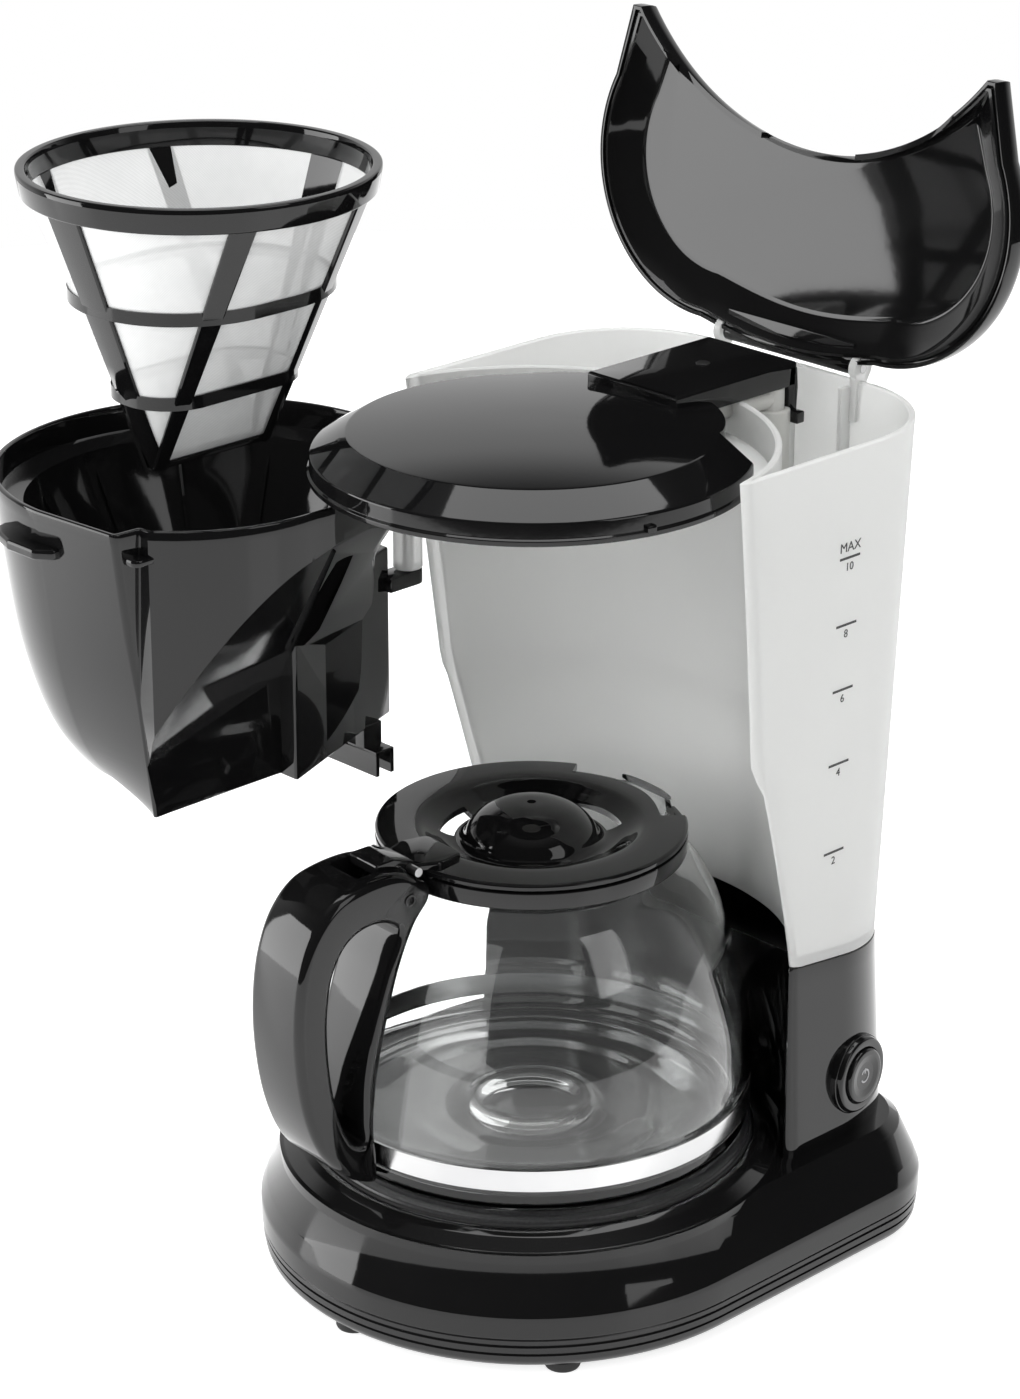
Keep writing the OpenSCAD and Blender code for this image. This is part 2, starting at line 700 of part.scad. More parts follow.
module tank_lid() {
    rim = 4;
    color(black) at_lid() difference() {
        union() {
            translate([0, 0, lid_low]) linear_extrude(lid_t - 3) lid_plan(0);
            translate([0, 0, lid_low + lid_t - 3]) linear_extrude(1.6) lid_plan(1.2);
            translate([0, 0, lid_low + lid_t - 1.4]) linear_extrude(1.4) lid_plan(4);
            translate([-(lug_x - 0.4), hinge_y, hinge_z]) rotate([0, 90, 0]) cylinder(r = 3, h = 2 * (lug_x - 0.4), $fn = 48);
        }
        translate([0, 0, lid_low - 1]) linear_extrude(lid_t - 2 + 1) difference() {
            lid_plan(rim);
            translate([-lug_x - 1, hinge_y - 9]) square([2 * lug_x + 2, 20]);
        }
        // room for the cover's raised disc and the spray arm
        rotate_extrude() polygon([[0, lid_low - 1], [disc_r + 6.5, lid_low - 1], [disc_r + 1, disc_z + 0.6],
            [disc_r - 5, disc_z + 1.4], [0, disc_z + 4.6]]);
        translate([-arm_w / 2 - 0.6, 0, lid_low - 1]) cube([arm_w + 1.2, arm_rear + 3, arm_top - lid_low + 1.5]);
        // room for the hinge's ears
        for (s = [-1, 1]) translate([s * (lug_x + lug_w / 2) - lug_w / 2 - 0.4, hinge_y - 8, lid_low - 1])
            cube([lug_w + 0.8, 20, lid_t + 4]);
        translate([-far / 2, hinge_y, hinge_z]) rotate([0, 90, 0]) cylinder(r = pin_r, h = far, $fn = 48);
    }
}

module lid_pins() {
    color(steel) at_lid() for (s = [-1, 1]) translate([s * (lug_x - 1.5), hinge_y, hinge_z]) rotate([0, 90, 0])
        cylinder(r = pin_r, h = 9, center = true, $fn = 48);
}

// --- filter basket: drawn shut and then swung out about its pivot ---
module at_basket() {
    translate([pivot[0], pivot[1], 0]) rotate([0, 0, -swing]) translate([-pivot[0], -pivot[1], 0]) children();
}
basket_centre = [pivot[0] + (-pivot[0]) * cos(swing) + (-pivot[1]) * sin(swing),
    pivot[1] - (-pivot[0]) * sin(swing) + (-pivot[1]) * cos(swing)];
basket_corner = [basket_r - 2.6, 35];   // where a flank of the round front ends, at the rim
basket_heel = [basket_r - 18.5, 30];    // and at the floor
back_r = cone_r - 3;                    // round back, and its centre
back_at = [10.6, 2.8];
flat_back = 31;                         // flat wall under the fold
fold_at = [13, flat_back, basket_top - 69.5];   // a point of the fold, the tilt and the turn of its normal
fold_tilt = 119.5;
fold_turn = 99;

function skirt(inset) = [[basket_r - inset, basket_top], [basket_r - 2.5 - inset, basket_top - 23],
    [basket_r - 7.5 - inset, basket_top - 57.5], [basket_r - 15.5 - inset, basket_top - 82.5],
    [basket_r - 23.5 - inset, basket_floor + 4], [basket_r - 31.5 - inset, basket_floor]];
// Outside of the basket moved in by inset, and longer at both ends by over.
module basket_form(inset, over) {
    difference() {
        hull() {
            for (p = concat([[basket_r - inset, basket_top + over]], skirt(inset),
                    [[basket_r - 31.5 - inset, basket_floor - over]]))
                translate([0, 0, p[1] - e]) difference() {
                    cylinder(r = p[0], h = e, $fn = 60);
                    translate([-far / 2, 0, -1]) cube(far);
                }
            translate([0, 0, basket_top + over - e]) cube([basket_corner[0] - inset, basket_corner[1] - inset, e]);
            translate([0, 0, basket_floor - over]) cube([basket_heel[0] - inset, basket_heel[1] - inset, e]);
            translate([back_at[0], back_at[1], fold_at[2] - 3])
                cylinder(r = back_r - inset, h = basket_top + over - fold_at[2] + 3, $fn = 60);
        }
        intersection() {
            translate(fold_at) rotate([0, fold_tilt, fold_turn]) translate([-far / 2, -far / 2, -inset]) cube(far);
            translate([-far / 2, flat_back - inset, 0]) cube(far);
        }
    }
}
function cone(inset) = [[cone_r - inset, basket_top], [cone_r - 3 - inset, basket_top - 20],
    [15 - inset, basket_floor + 8 + inset / 2]];
ledge_z = basket_top - 9;
// Plan and height of the box beside the hinge.
box_plan = [[-2, -8], [-2, 38], [-40, 23.5], [-64, 15], [-64, -8]];
box_h = 60;
module filter_basket() {
    w = basket_wall;
    color(black) at_basket() difference() {
        union() {
            difference() {
                basket_form(0, 0);
                basket_form(w, 1);
            }
            // cone that holds the filter
            rotate_extrude() polygon(concat([[0, basket_top]], cone(0), [[12, basket_floor], [0, basket_floor]]));
            // ledge between the cone and the rim
            intersection() {
                translate([-far / 2, -far / 2, ledge_z - w]) cube([far, far, w]);
                basket_form(w / 2, 0);
            }
            // latch cup and finger tab
            translate([54, 30, basket_top - 9.5]) cube([8.5, 10.5, 2.4]);
            translate([50, -14, basket_top - 14]) cube([24, 16, 3]);
            // square box beside the hinge, and the channel that hangs under it
            intersection() {
                translate([0, 0, basket_floor - 1]) difference() {
                    linear_extrude(box_h) polygon(box_plan);
                    translate([0, 0, -1]) linear_extrude(box_h - w + 1) offset(delta = -w) polygon(box_plan);
                }
                cylinder(r = basket_r - 2, h = far);
            }
            difference() {
                translate([-54.5, -1, basket_floor - 16]) cube([8, 22, 9]);
                translate([-53, -2, basket_floor - 17]) cube([5, 24, 8.5]);
            }
            translate([-54.5, 18, basket_floor - 8]) cube([8, 4, 10]);
            // hinge lugs
            for (z = [boss_low - lug_t, boss_high + fit]) translate([0, 0, z]) {
                translate([pivot[0], pivot[1], 0]) cylinder(r = pivot_boss, h = lug_t - fit);
                translate([pivot[0], pivot[1] - pivot_boss, 0]) cube([22, 2 * pivot_boss, lug_t - fit]);
            }
            // ring round the drip valve
            translate([0, 0, valve_ring_z]) cylinder(r = 9, h = basket_floor - valve_ring_z + 1);
        }
        rotate_extrude() polygon(concat([[0, basket_top + 1], [cone_r - w, basket_top + 1]], cone(w),
            [[8, seat_z], [seat_hole, seat_z], [seat_hole, valve_ring_z - 1], [0, valve_ring_z - 1]]));
        // inside of the rim, above the ledge
        intersection() {
            translate([-far / 2, -far / 2, ledge_z]) cube(far);
            basket_form(w, 1);
        }
        translate([0, 0, valve_ring_z - 1]) cylinder(r = 7, h = basket_floor - 1 - valve_ring_z + 1);
        translate([pivot[0], pivot[1], boss_low - 20]) cylinder(r = pin_r, h = 80, $fn = 48);
    }
}

module basket_pin() {
    color(steel) translate([pivot[0], pivot[1], boss_low - lug_t]) {
        cylinder(r = pin_r, h = boss_high - boss_low + 2 * lug_t, $fn = 48);
        translate([0, 0, boss_high - boss_low + 2 * lug_t]) cylinder(r = pin_r + 1, h = 0.8, $fn = 48);
    }
}

// --- drip valve, in the middle of the basket's floor ---
valve_ring_z = basket_floor - 8;
seat_hole = 4;
stem_r = 2;
foot_disc_z = valve_ring_z - 0.8;
seat_z = basket_floor + 3;
module valve_plunger() {
    color("#e9e9e4") at_basket() {
        translate([0, 0, foot_disc_z]) cylinder(r = 4.5, h = 1.2, $fn = 48);
        translate([0, 0, foot_disc_z + 1.2]) cylinder(r = stem_r, h = seat_z + 0.8 - foot_disc_z - 1.2, $fn = 48);
        translate([0, 0, seat_z + 0.8]) cylinder(r = 5, h = 1.6, $fn = 48);
    }
}

module valve_seal() {
    color("#b6452f") at_basket() translate([0, 0, seat_z]) difference() {
        cylinder(r = 5.6, h = 0.8, $fn = 48);
        translate([0, 0, -1]) cylinder(r = stem_r, h = 3, $fn = 48);
    }
}

// A coil of round wire between two heights.
module coil(r, wire, turns, low, high) {
    steps = 14;
    sides = 6;
    n = turns * steps;
    rings = [for (i = [0:n]) let (a = i * 360 / steps, z = mix(low, high, i / n))
        [for (k = [0:sides - 1]) let (b = k * 360 / sides)
            [(r + wire * cos(b)) * cos(a), (r + wire * cos(b)) * sin(a), z + wire * sin(b)]]];
    points = [for (ring = rings) for (p = ring) p];
    walls = [for (i = [0:n - 1]) for (k = [0:sides - 1]) let (m = (k + 1) % sides)
        [i * sides + k, i * sides + m, (i + 1) * sides + m, (i + 1) * sides + k]];
    ends = [[for (k = [sides - 1:-1:0]) k], [for (k = [0:sides - 1]) n * sides + k]];
    polyhedron(points, concat([for (f = walls) [f[3], f[2], f[1], f[0]]], [for (f = ends) [for (j = [len(f) - 1:-1:0]) f[j]]]));
}
module valve_spring() {
    wire = 0.35;
    color(steel) at_basket() coil(3, wire, 4, foot_disc_z + 1.2 + wire, basket_floor - 1 - wire);
}

// --- permanent filter, lifted above the basket ---
filter_z = basket_top + filter_gap;
module at_filter() {
    translate([basket_centre[0], basket_centre[1], filter_z]) rotate([0, 0, 90 - swing]) children();
}
throat = ring_r - 3.5;
keel_half = 2.2;
// Tapering shape from the keel to the ring, or one moved outwards by a negative inset.
module filter_shape(inset) {
    hull() {
        translate([0, 0, filter_h - ring_h]) cylinder(r = throat - inset, h = e, $fn = 96);
        translate([inset - keel_half, inset - keel / 2, max(inset, 0)])
            cube([2 * (keel_half - inset), keel - 2 * inset, e]);
    }
}
rib_angle = 26;       // where the four narrow ribs meet the ring
rib_w = 6;
hoop_t = 1.3;
hoop_h = 4.2;
hoop_share = [0.288, 0.646];   // heights of the two hoops, as shares of the way up to the ring
module filter_bands() {
    up = filter_h - ring_h;
    lean = atan2(throat * sin(rib_angle) - keel / 2, throat * cos(rib_angle) - keel_half);
    // narrow ribs, from the ends of the keel
    for (x = [0, 1]) for (y = [0, 1]) mirror([x, 0, 0]) mirror([0, y, 0])
        translate([keel_half, keel / 2, 0]) rotate([0, 0, lean]) translate([-4, -rib_w / 2, 0]) cube([throat + 4, rib_w, up]);
    // broad ribs at both ends
    rotate([90, 0, 0]) linear_extrude(far, center = true) polygon([[-4.5, 0], [4.5, 0], [7.5, up], [-7.5, up]]);
    for (share = hoop_share) translate([-far / 2, -far / 2, up * share - hoop_h / 2]) cube([far, far, hoop_h]);
    // keel
    translate([-far / 2, -far / 2, 0]) cube([far, far, 2.4]);
}
module filter_frame() {
    color(black) at_filter() {
        translate([0, 0, filter_h - ring_h]) difference() {
            cylinder(r1 = ring_r - 1, r2 = ring_r, h = ring_h);
            translate([0, 0, -1]) cylinder(r = throat, h = ring_h + 2);
        }
        difference() {
            intersection() {
                filter_shape(-hoop_t);
                filter_bands();
            }
            filter_shape(0.15);
        }
    }
}
module filter_mesh() {
    color("#f4f4f1", 0.6) at_filter() difference() {
        filter_shape(0.2);
        translate([0, 0, 0.05]) filter_shape(0.7);
        translate([0, 0, filter_h - ring_h - 0.6]) cylinder(r = far / 4, h = 2);
    }
}

// --- carafe ---
carafe_z = plate_top + fit;
module at_carafe() { translate([0, 0, carafe_z]) rotate([0, 0, -carafe_turn]) children(); }
band_low = 9;
neck_r = 49;
collar_low = glass_h - 6;
// Outside of the glass, from its foot to its lip, [radius, height].
glass_side = [[glass_r - 4, 0], [glass_r - 1.5, 3], [glass_r - 1, 8.5], [glass_r - 1, 17],
    [glass_r, 20], [glass_r, 26], [glass_r - 1.8, glass_h - 62.5], [glass_r - 6.4, glass_h - 43.5],
    [glass_r - 11, glass_h - 25.5], [glass_r - 18, glass_h - 11.5], [neck_r, collar_low - fit], [neck_r, glass_h]];
module carafe_glass() {
    inner = [for (i = [len(glass_side) - 1:-1:1]) [glass_side[i][0] - glass_wall, glass_side[i][1] + (i == 1 ? 1.5 : 0)]];
    color("#dfe8ea", 0.3) at_carafe() {
        rotate_extrude() polygon(concat([[0, 2.2], [glass_r - 14, 1.2], [glass_r - 8, 0]], glass_side,
            inner, [[glass_r - 12, 3.6], [0, 4.8]]));
        // pouring lip
        translate([0, neck_r - 3, glass_h - 6]) difference() {
            cylinder(r1 = 4, r2 = 9, h = 6, $fn = 48);
            translate([0, 0, 0.8]) cylinder(r1 = 2.5, r2 = 7.5, h = 6, $fn = 48);
            translate([-20, -20, -1]) cube([40, 20 + 3 - 1, 10]);
        }
    }
}

module carafe_band() {
    color(steel) at_carafe() translate([0, 0, band_low]) difference() {
        cylinder(r = glass_r - 0.3, h = band_h);
        translate([0, 0, -1]) cylinder(r = glass_r - 1, h = band_h + 2);
    }
}

module carafe_collar() {
    color(black) at_carafe() translate([0, 0, collar_low]) difference() {
        cylinder(r = neck_r + 2.4, h = glass_h - collar_low);
        translate([0, 0, -1]) cylinder(r = neck_r, h = 20);
        translate([0, neck_r, -1]) cylinder(r = 11, h = 20);
    }
}

// Outline of the handle in its own plane: distance from the axis, height above the foot.
lid_hinge_y = -(neck_r + 7);
lid_hinge_z = glass_h + 4.4;
module handle_plan() {
    r = handle_reach;
    top = glass_h;
    difference() {
        polygon([[-neck_r - 2.4, collar_low], [-neck_r - 2.4, top - 0.4], [-neck_r - 6, top + 1.5],
            [-neck_r - 11, top + 5], [-neck_r - 17, top + 6.6], [-(r - 27), top + 6.5], [-(r - 16), top + 3.5],
            [-(r - 8), top - 5], [-(r - 2.7), top - 17.5], [-(r - 0.3), top - 33.5], [-(r - 0.7), top - 51.5],
            [-(r - 4.1), top - 70.5], [-(r - 10), 19], [-(r - 18), 9.6], [-(r - 26), 4.6], [-glass_r - 1, 3.2],
            [-glass_r + 0.3, 3], [-glass_r + 0.3, 17], [-glass_r - 0.6, 20], [-glass_r - 0.6, 26],
            [-glass_r + 1.2, top - 62.5], [-glass_r + 5.8, top - 43.5], [-glass_r + 10.4, top - 25.5],
            [-glass_r + 17.6, top - 11.5]]);
        polygon([[-glass_r - 5.8, 21], [-(r - 21.9), 20.4], [-(r - 17.5), 28], [-(r - 14.1), top - 62.5],
            [-(r - 12.3), top - 46.5], [-(r - 12.6), top - 31.5], [-(r - 15.3), top - 19.5],
            [-(r - 20.5), top - 11.9], [-(r - 27.5), top - 8.7], [-glass_r + 4, top - 9.1],
            [-glass_r + 9, top - 13], [-glass_r + 4, top - 26.5], [-glass_r - 1, top - 43.5],
            [-glass_r - 5, top - 62.5], [-glass_r - 6, 27]]);
    }
}
module carafe_handle() {
    color(black) at_carafe() difference() {
        rotate([90, 0, 90]) translate([0, 0, -handle_w / 2]) linear_extrude(handle_w) handle_plan();
        // clear of the glass, the band and the collar
        translate([0, 0, -1]) cylinder(r = neck_r + 2.4, h = glass_h + 20);
        rotate_extrude() polygon(concat([[0, -1], [glass_r - 4, -1]], [for (p = glass_side) [p[0] + 0.3, p[1]]],
            [[0, glass_h]]));
        // pocket of the lid's lever
        translate([-lever_w / 2 - 0.6, -neck_r - 26, glass_h - 4.5]) cube([lever_w + 1.2, 26, 20]);
        translate([-far / 2, lid_hinge_y, lid_hinge_z]) rotate([0, 90, 0]) cylinder(r = pin_r, h = far, $fn = 48);
        translate([0, -glass_r - 12, band_low + band_h / 2 - 1]) rotate([-90, 0, 0]) cylinder(r = 1.6, h = 14, $fn = 32);
    }
}
lever_w = 14;

module handle_screw() {
    color(steel) at_carafe() translate([0, -glass_r + 0.3, band_low + band_h / 2 - 1]) rotate([90, 0, 0])
        cylinder(r = 1.6, h = 10, $fn = 32);
}

module carafe_lid() {
    low = glass_h + 0.4;
    color(black) at_carafe() difference() {
        union() {
            rotate_extrude() polygon([[0, low + 6], [14, low + 5.2], [22, low + 1.5], [23, low], [25, low - 2],
                [38, low - 1], [44, low + 0.2], [carafe_lid_r - 1, low + 0.2], [carafe_lid_r, low + 1.2], [carafe_lid_r, low + 2],
                [carafe_lid_r - 1, low + 2.6], [44, low + 2.4], [36, low + 1], [25, low], [22.5, low + 3.6],
                [14, low + 7.4], [0, low + 8.4]]);
            // arm to the hinge and lever for the thumb
            translate([-lever_w / 2, lid_hinge_y - 1, low + 0.4]) cube([lever_w, 12, 2.2]);
            translate([-lever_w / 2, lid_hinge_y, lid_hinge_z]) rotate([0, 90, 0]) cylinder(r = 3, h = lever_w, $fn = 48);
            translate([-lever_w / 2, lid_hinge_y - 15, lid_hinge_z]) cube([lever_w, 15, 3]);
        }
        // steam slots and pin bore
        for (s = [-1, 1]) rotate([0, 0, s * 90 - 25]) rotate_extrude(angle = 50)
            translate([28, -far / 4]) square([6, far]);
        translate([0, 0, low]) cylinder(r = 1.6, h = 20, $fn = 32);
        translate([0, 38, low - 10]) cylinder(r = 3, h = 20, $fn = 32);
        translate([-far / 2, lid_hinge_y, lid_hinge_z]) rotate([0, 90, 0]) cylinder(r = pin_r + running, h = far, $fn = 48);
    }
}

module carafe_lid_pin() {
    color(steel) at_carafe() translate([0, lid_hinge_y, lid_hinge_z]) rotate([0, 90, 0])
        cylinder(r = pin_r, h = handle_w - 3, center = true, $fn = 48);
}

// --- switch ---
bezel_barrel = button_r + 1.6;
module switch_bezel() {
    color(black) at_switch() difference() {
        union() {
            translate([0, 0, switch_face]) cylinder(r = bezel_r, h = 1.8);
            translate([0, 0, switch_face - 10]) cylinder(r = bezel_barrel, h = 10.2);
        }
        translate([0, 0, switch_face - 11]) cylinder(r = button_r + fit, h = 20);
    }
}

module switch_button() {
    color("#1b1c1e") at_switch() difference() {
        translate([0, 0, switch_face - 6]) cylinder(r = button_r, h = 9);
        translate([0, 0, switch_face + 2.6]) difference() {
            cylinder(r = 2.6, h = 2, $fn = 32);
            translate([0, 0, -1]) cylinder(r = 2, h = 4, $fn = 32);
        }
    }
}

module switch_body() {
    color("#2a2a2c") at_switch() {
        translate([-9, -9, switch_face - 20]) cube([18, 18, 10]);
        for (y = [-5, 5]) translate([-2, y - 0.4, switch_face - 24]) cube([4, 0.8, 4]);
    }
}

housing();
base_plate();
feet();
base_screws();
hot_plate();
plate_seal();
heating_element();
thermostat();
thermostat_strap();
strap_screws();
thermal_fuse();
inlet_hose();
outlet_hose();
hose_clips();
check_valve();
terminal_block();
terminal_screws();
cord_gland();
water_tank();
riser_tube();
level_marks();
front_cover();
spray_arm();
arm_screw();
spray_duct();
spray_head();
cover_screws();
tank_lid();
lid_pins();
filter_basket();
basket_pin();
valve_plunger();
valve_seal();
valve_spring();
filter_frame();
filter_mesh();
carafe_glass();
carafe_collar();
carafe_band();
carafe_handle();
handle_screw();
carafe_lid();
carafe_lid_pin();
switch_bezel();
switch_button();
switch_body();
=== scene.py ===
"""Drip coffee maker: fine shells, finishes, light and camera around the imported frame.

Sizes are in millimetres up to the moment a piece is made. +Z is up and the handle points to -Y.
"""

import json
import math

import bmesh
import bpy
from mathutils import Matrix, Vector

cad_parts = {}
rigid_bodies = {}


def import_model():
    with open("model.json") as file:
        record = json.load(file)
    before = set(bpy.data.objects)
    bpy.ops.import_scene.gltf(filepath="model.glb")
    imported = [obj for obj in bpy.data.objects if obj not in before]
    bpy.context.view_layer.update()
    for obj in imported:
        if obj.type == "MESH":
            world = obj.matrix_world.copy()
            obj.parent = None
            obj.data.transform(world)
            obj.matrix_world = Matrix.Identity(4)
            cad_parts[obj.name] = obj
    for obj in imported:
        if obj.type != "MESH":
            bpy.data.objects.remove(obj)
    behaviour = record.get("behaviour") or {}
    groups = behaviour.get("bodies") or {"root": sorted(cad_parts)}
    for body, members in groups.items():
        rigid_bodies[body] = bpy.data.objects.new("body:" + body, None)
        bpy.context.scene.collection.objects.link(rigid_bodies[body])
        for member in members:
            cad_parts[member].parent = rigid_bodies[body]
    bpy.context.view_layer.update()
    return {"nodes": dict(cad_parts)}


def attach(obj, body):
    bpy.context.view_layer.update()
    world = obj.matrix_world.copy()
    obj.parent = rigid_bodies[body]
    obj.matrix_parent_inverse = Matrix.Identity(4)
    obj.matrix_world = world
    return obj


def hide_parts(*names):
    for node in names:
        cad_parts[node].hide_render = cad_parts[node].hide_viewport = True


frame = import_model()
MM = 0.001


# --- lines and rings -------------------------------------------------------------------------

def lerp(a, b, t):
    return a + (b - a) * t


def eased(corners, steps=5, closed=True):
    """A line through corners (x, y, radius), each corner rounded by its radius."""
    line = []
    for i, corner in enumerate(corners):
        here = Vector(corner[:2])
        radius = corner[2] if len(corner) > 2 else 0
        if radius <= 0 or (not closed and i in (0, len(corners) - 1)):
            line.append(tuple(here))
            continue
        back = Vector(corners[i - 1][:2]) - here
        ahead = Vector(corners[(i + 1) % len(corners)][:2]) - here
        half = back.angle(ahead) / 2
        reach = min(radius / max(math.tan(half), 1e-6), back.length * 0.48, ahead.length * 0.48)
        start, end = here + back.normalized() * reach, here + ahead.normalized() * reach
        for k in range(steps + 1):
            t = k / steps
            line.append(tuple(start * (1 - t) ** 2 + here * (2 * t * (1 - t)) + end * t * t))
    return line


def bent(corners, steps=5):
    """An open line through corners, rounded as eased does it."""
    return eased(corners, steps, closed=False)


def arc(radius, start, end, steps, centre=(0, 0), first=0):
    """Points on a circle from one angle to another."""
    turns = [lerp(start, end, k / steps) for k in range(first, steps + 1)]
    return [(centre[0] + radius * math.cos(a), centre[1] + radius * math.sin(a)) for a in turns]


def quarter(steps):
    """Steps round a rounded edge: the share still to go inwards and the share already gone up."""
    turns = [math.pi / 2 * k / steps for k in range(steps + 1)]
    return [(1 - math.sin(a), 1 - math.cos(a)) for a in turns]


def flowing(points, steps=6, closed=False):
    """A smooth curve through points of any dimension."""
    pts = [Vector(p) for p in points]
    n = len(pts)
    spans = n if closed else n - 1
    line = []
    for i in range(spans):
        p1, p2 = pts[i], pts[(i + 1) % n]
        p0 = pts[i - 1] if closed or i > 0 else p1 * 2 - p2
        p3 = pts[(i + 2) % n] if closed or i + 2 < n else p2 * 2 - p1
        knots = [0.0]
        for a, b in ((p0, p1), (p1, p2), (p2, p3)):
            knots.append(knots[-1] + max((b - a).length, 1e-6) ** 0.5)
        t0, t1, t2, t3 = knots
        for k in range(steps):
            t = lerp(t1, t2, k / steps)
            a1 = p0 * ((t1 - t) / (t1 - t0)) + p1 * ((t - t0) / (t1 - t0))
            a2 = p1 * ((t2 - t) / (t2 - t1)) + p2 * ((t - t1) / (t2 - t1))
            a3 = p2 * ((t3 - t) / (t3 - t2)) + p3 * ((t - t2) / (t3 - t2))
            b1 = a1 * ((t2 - t) / (t2 - t0)) + a2 * ((t - t0) / (t2 - t0))
            b2 = a2 * ((t3 - t) / (t3 - t1)) + a3 * ((t - t1) / (t3 - t1))
            line.append(tuple(b1 * ((t2 - t) / (t2 - t1)) + b2 * ((t - t1) / (t2 - t1))))
    if not closed:
        line.append(tuple(pts[-1]))
    return line


def spaced(points, count):
    """count points at equal steps along a closed line."""
    pts = [Vector(p) for p in points]
    pts.append(pts[0])
    run = [0.0]
    for a, b in zip(pts, pts[1:]):
        run.append(run[-1] + (b - a).length)
    out, seg = [], 0
    for k in range(count):
        want = run[-1] * k / count
        while seg < len(run) - 2 and run[seg + 1] < want:
            seg += 1
        gap = run[seg + 1] - run[seg]
        out.append(tuple(pts[seg].lerp(pts[seg + 1], (want - run[seg]) / gap if gap else 0)))
    return out


def area(ring):
    return sum(a[0] * b[1] - b[0] * a[1] for a, b in zip(ring, ring[1:] + ring[:1])) / 2


def inset_ring(ring, depth):
    """A closed flat ring moved inwards by depth, or outwards where depth is negative."""
    side = 1 if area(ring) > 0 else -1
    out, n = [], len(ring)
    for i in range(n):
        p, a, b = Vector(ring[i][:2]), Vector(ring[i - 1][:2]), Vector(ring[(i + 1) % n][:2])
        d1, d2 = (p - a), (b - p)
        if d1.length < 1e-6 or d2.length < 1e-6:
            d = (b - a).normalized()
            out.append((p.x - side * d.y * depth, p.y + side * d.x * depth))
            continue
        d1.normalize()
        d2.normalize()
        n1, n2 = Vector((-d1.y, d1.x)) * side, Vector((-d2.y, d2.x)) * side
        mid = n1 + n2
        mid = mid / max(mid.dot(n1), 0.35)
        out.append((p.x + mid.x * depth, p.y + mid.y * depth))
    return out


def at_height(ring, z):
    return [(p[0], p[1], z) for p in ring]


def shift(x, y, z=0):
    return Matrix.Translation((x, y, z))


def spin(angle, axis):
    return Matrix.Rotation(angle, 4, axis)


def in_metres(matrix):
    """A placing in millimetres, for a mesh that is in metres."""
    return Matrix.Scale(MM, 4) @ matrix @ Matrix.Scale(1 / MM, 4)


def moved(matrix, points):
    return [tuple(matrix @ Vector(p)) for p in points]


class Form:
    """Points and faces that together become one piece."""

    def __init__(self):
        self.points, self.faces = [], []

    def loft(self, rings, wrap=False):
        base, n = len(self.points), len(rings[0])
        for ring in rings:
            self.points.extend(ring)
        for r in range(len(rings) if wrap else len(rings) - 1):
            a, b = base + r * n, base + (r + 1) % len(rings) * n
            for i in range(n):
                j = (i + 1) % n
                self.faces.append((a + i, a + j, b + j, b + i))
        if not wrap:
            last = base + (len(rings) - 1) * n
            self.faces.append(tuple(range(base, base + n)))
            self.faces.append(tuple(range(last, last + n)))
        return self

    def turn(self, profile, steps=144, start=0.0, sweep=360.0, centre=(0, 0)):
        """A closed profile of (radius, height) turned about Z."""
        whole = abs(sweep - 360) < 1e-6
        count = steps if whole else steps + 1
        rings = []
        for k in range(count):
            a = math.radians(start + sweep * k / steps)
            rings.append([(centre[0] + r * math.cos(a), centre[1] + r * math.sin(a), z) for r, z in profile])
        return self.loft(rings, wrap=whole)

    def slab(self, ring, low, high, ease_low=0.6, ease_high=0.6, steps=3):
        """A flat ring given a height, with its two edges rounded."""
        rings = [at_height(inset_ring(ring, ease_low * i), low + ease_low * u) for i, u in quarter(steps)]
        rings += [at_height(inset_ring(ring, ease_high * u), high - ease_high * i)
                  for i, u in quarter(steps)]
        return self.loft(rings)

    def block(self, lows, highs, ease=0.5):
        """A box between two corners with rounded edges."""
        (x0, y0, z0), (x1, y1, z1) = lows, highs
        ring = eased([(x0, y0, ease), (x1, y0, ease), (x1, y1, ease), (x0, y1, ease)], 4)
        return self.slab(ring, z0, z1, ease, ease)

    def add(self, other, matrix=None):
        base = len(self.points)
        self.points.extend(moved(matrix, other.points) if matrix else other.points)
        self.faces.extend(tuple(i + base for i in f) for f in other.faces)
        return self

    def place(self, matrix):
        self.points = moved(matrix, self.points)
        return self

    def mesh(self, name, scale=MM):
        mesh = bpy.data.meshes.new(name)
        mesh.from_pydata([tuple(c * scale for c in p) for p in self.points], [], self.faces)
        work = bmesh.new()
        work.from_mesh(mesh)
        bmesh.ops.remove_doubles(work, verts=work.verts, dist=1e-3 * scale)
        bmesh.ops.dissolve_degenerate(work, dist=1e-3 * scale, edges=work.edges)
        bmesh.ops.delete(work, geom=[e for e in work.edges if not e.link_faces], context="EDGES")
        bmesh.ops.recalc_face_normals(work, faces=work.faces)
        work.to_mesh(mesh)
        work.free()
        return mesh


def read_form(mesh):
    form = Form()
    form.points = [tuple(v.co) for v in mesh.vertices]
    form.faces = [tuple(p.vertices) for p in mesh.polygons]
    return form


def cut_out(form, *tools):
    """form with the tools cut out of it."""
    made = []
    for part in (form, *tools):
        obj = bpy.data.objects.new("bench", part.mesh("bench", 1.0))
        bpy.context.collection.objects.link(obj)
        made.append(obj)
    for tool in made[1:]:
        step = made[0].modifiers.new("step", "BOOLEAN")
        step.operation, step.solver, step.object = "DIFFERENCE", "MANIFOLD", tool
    result = bpy.data.meshes.new_from_object(made[0].evaluated_get(bpy.context.evaluated_depsgraph_get()))
    form = read_form(result)
    for obj in made:
        bpy.data.objects.remove(obj)
    return form


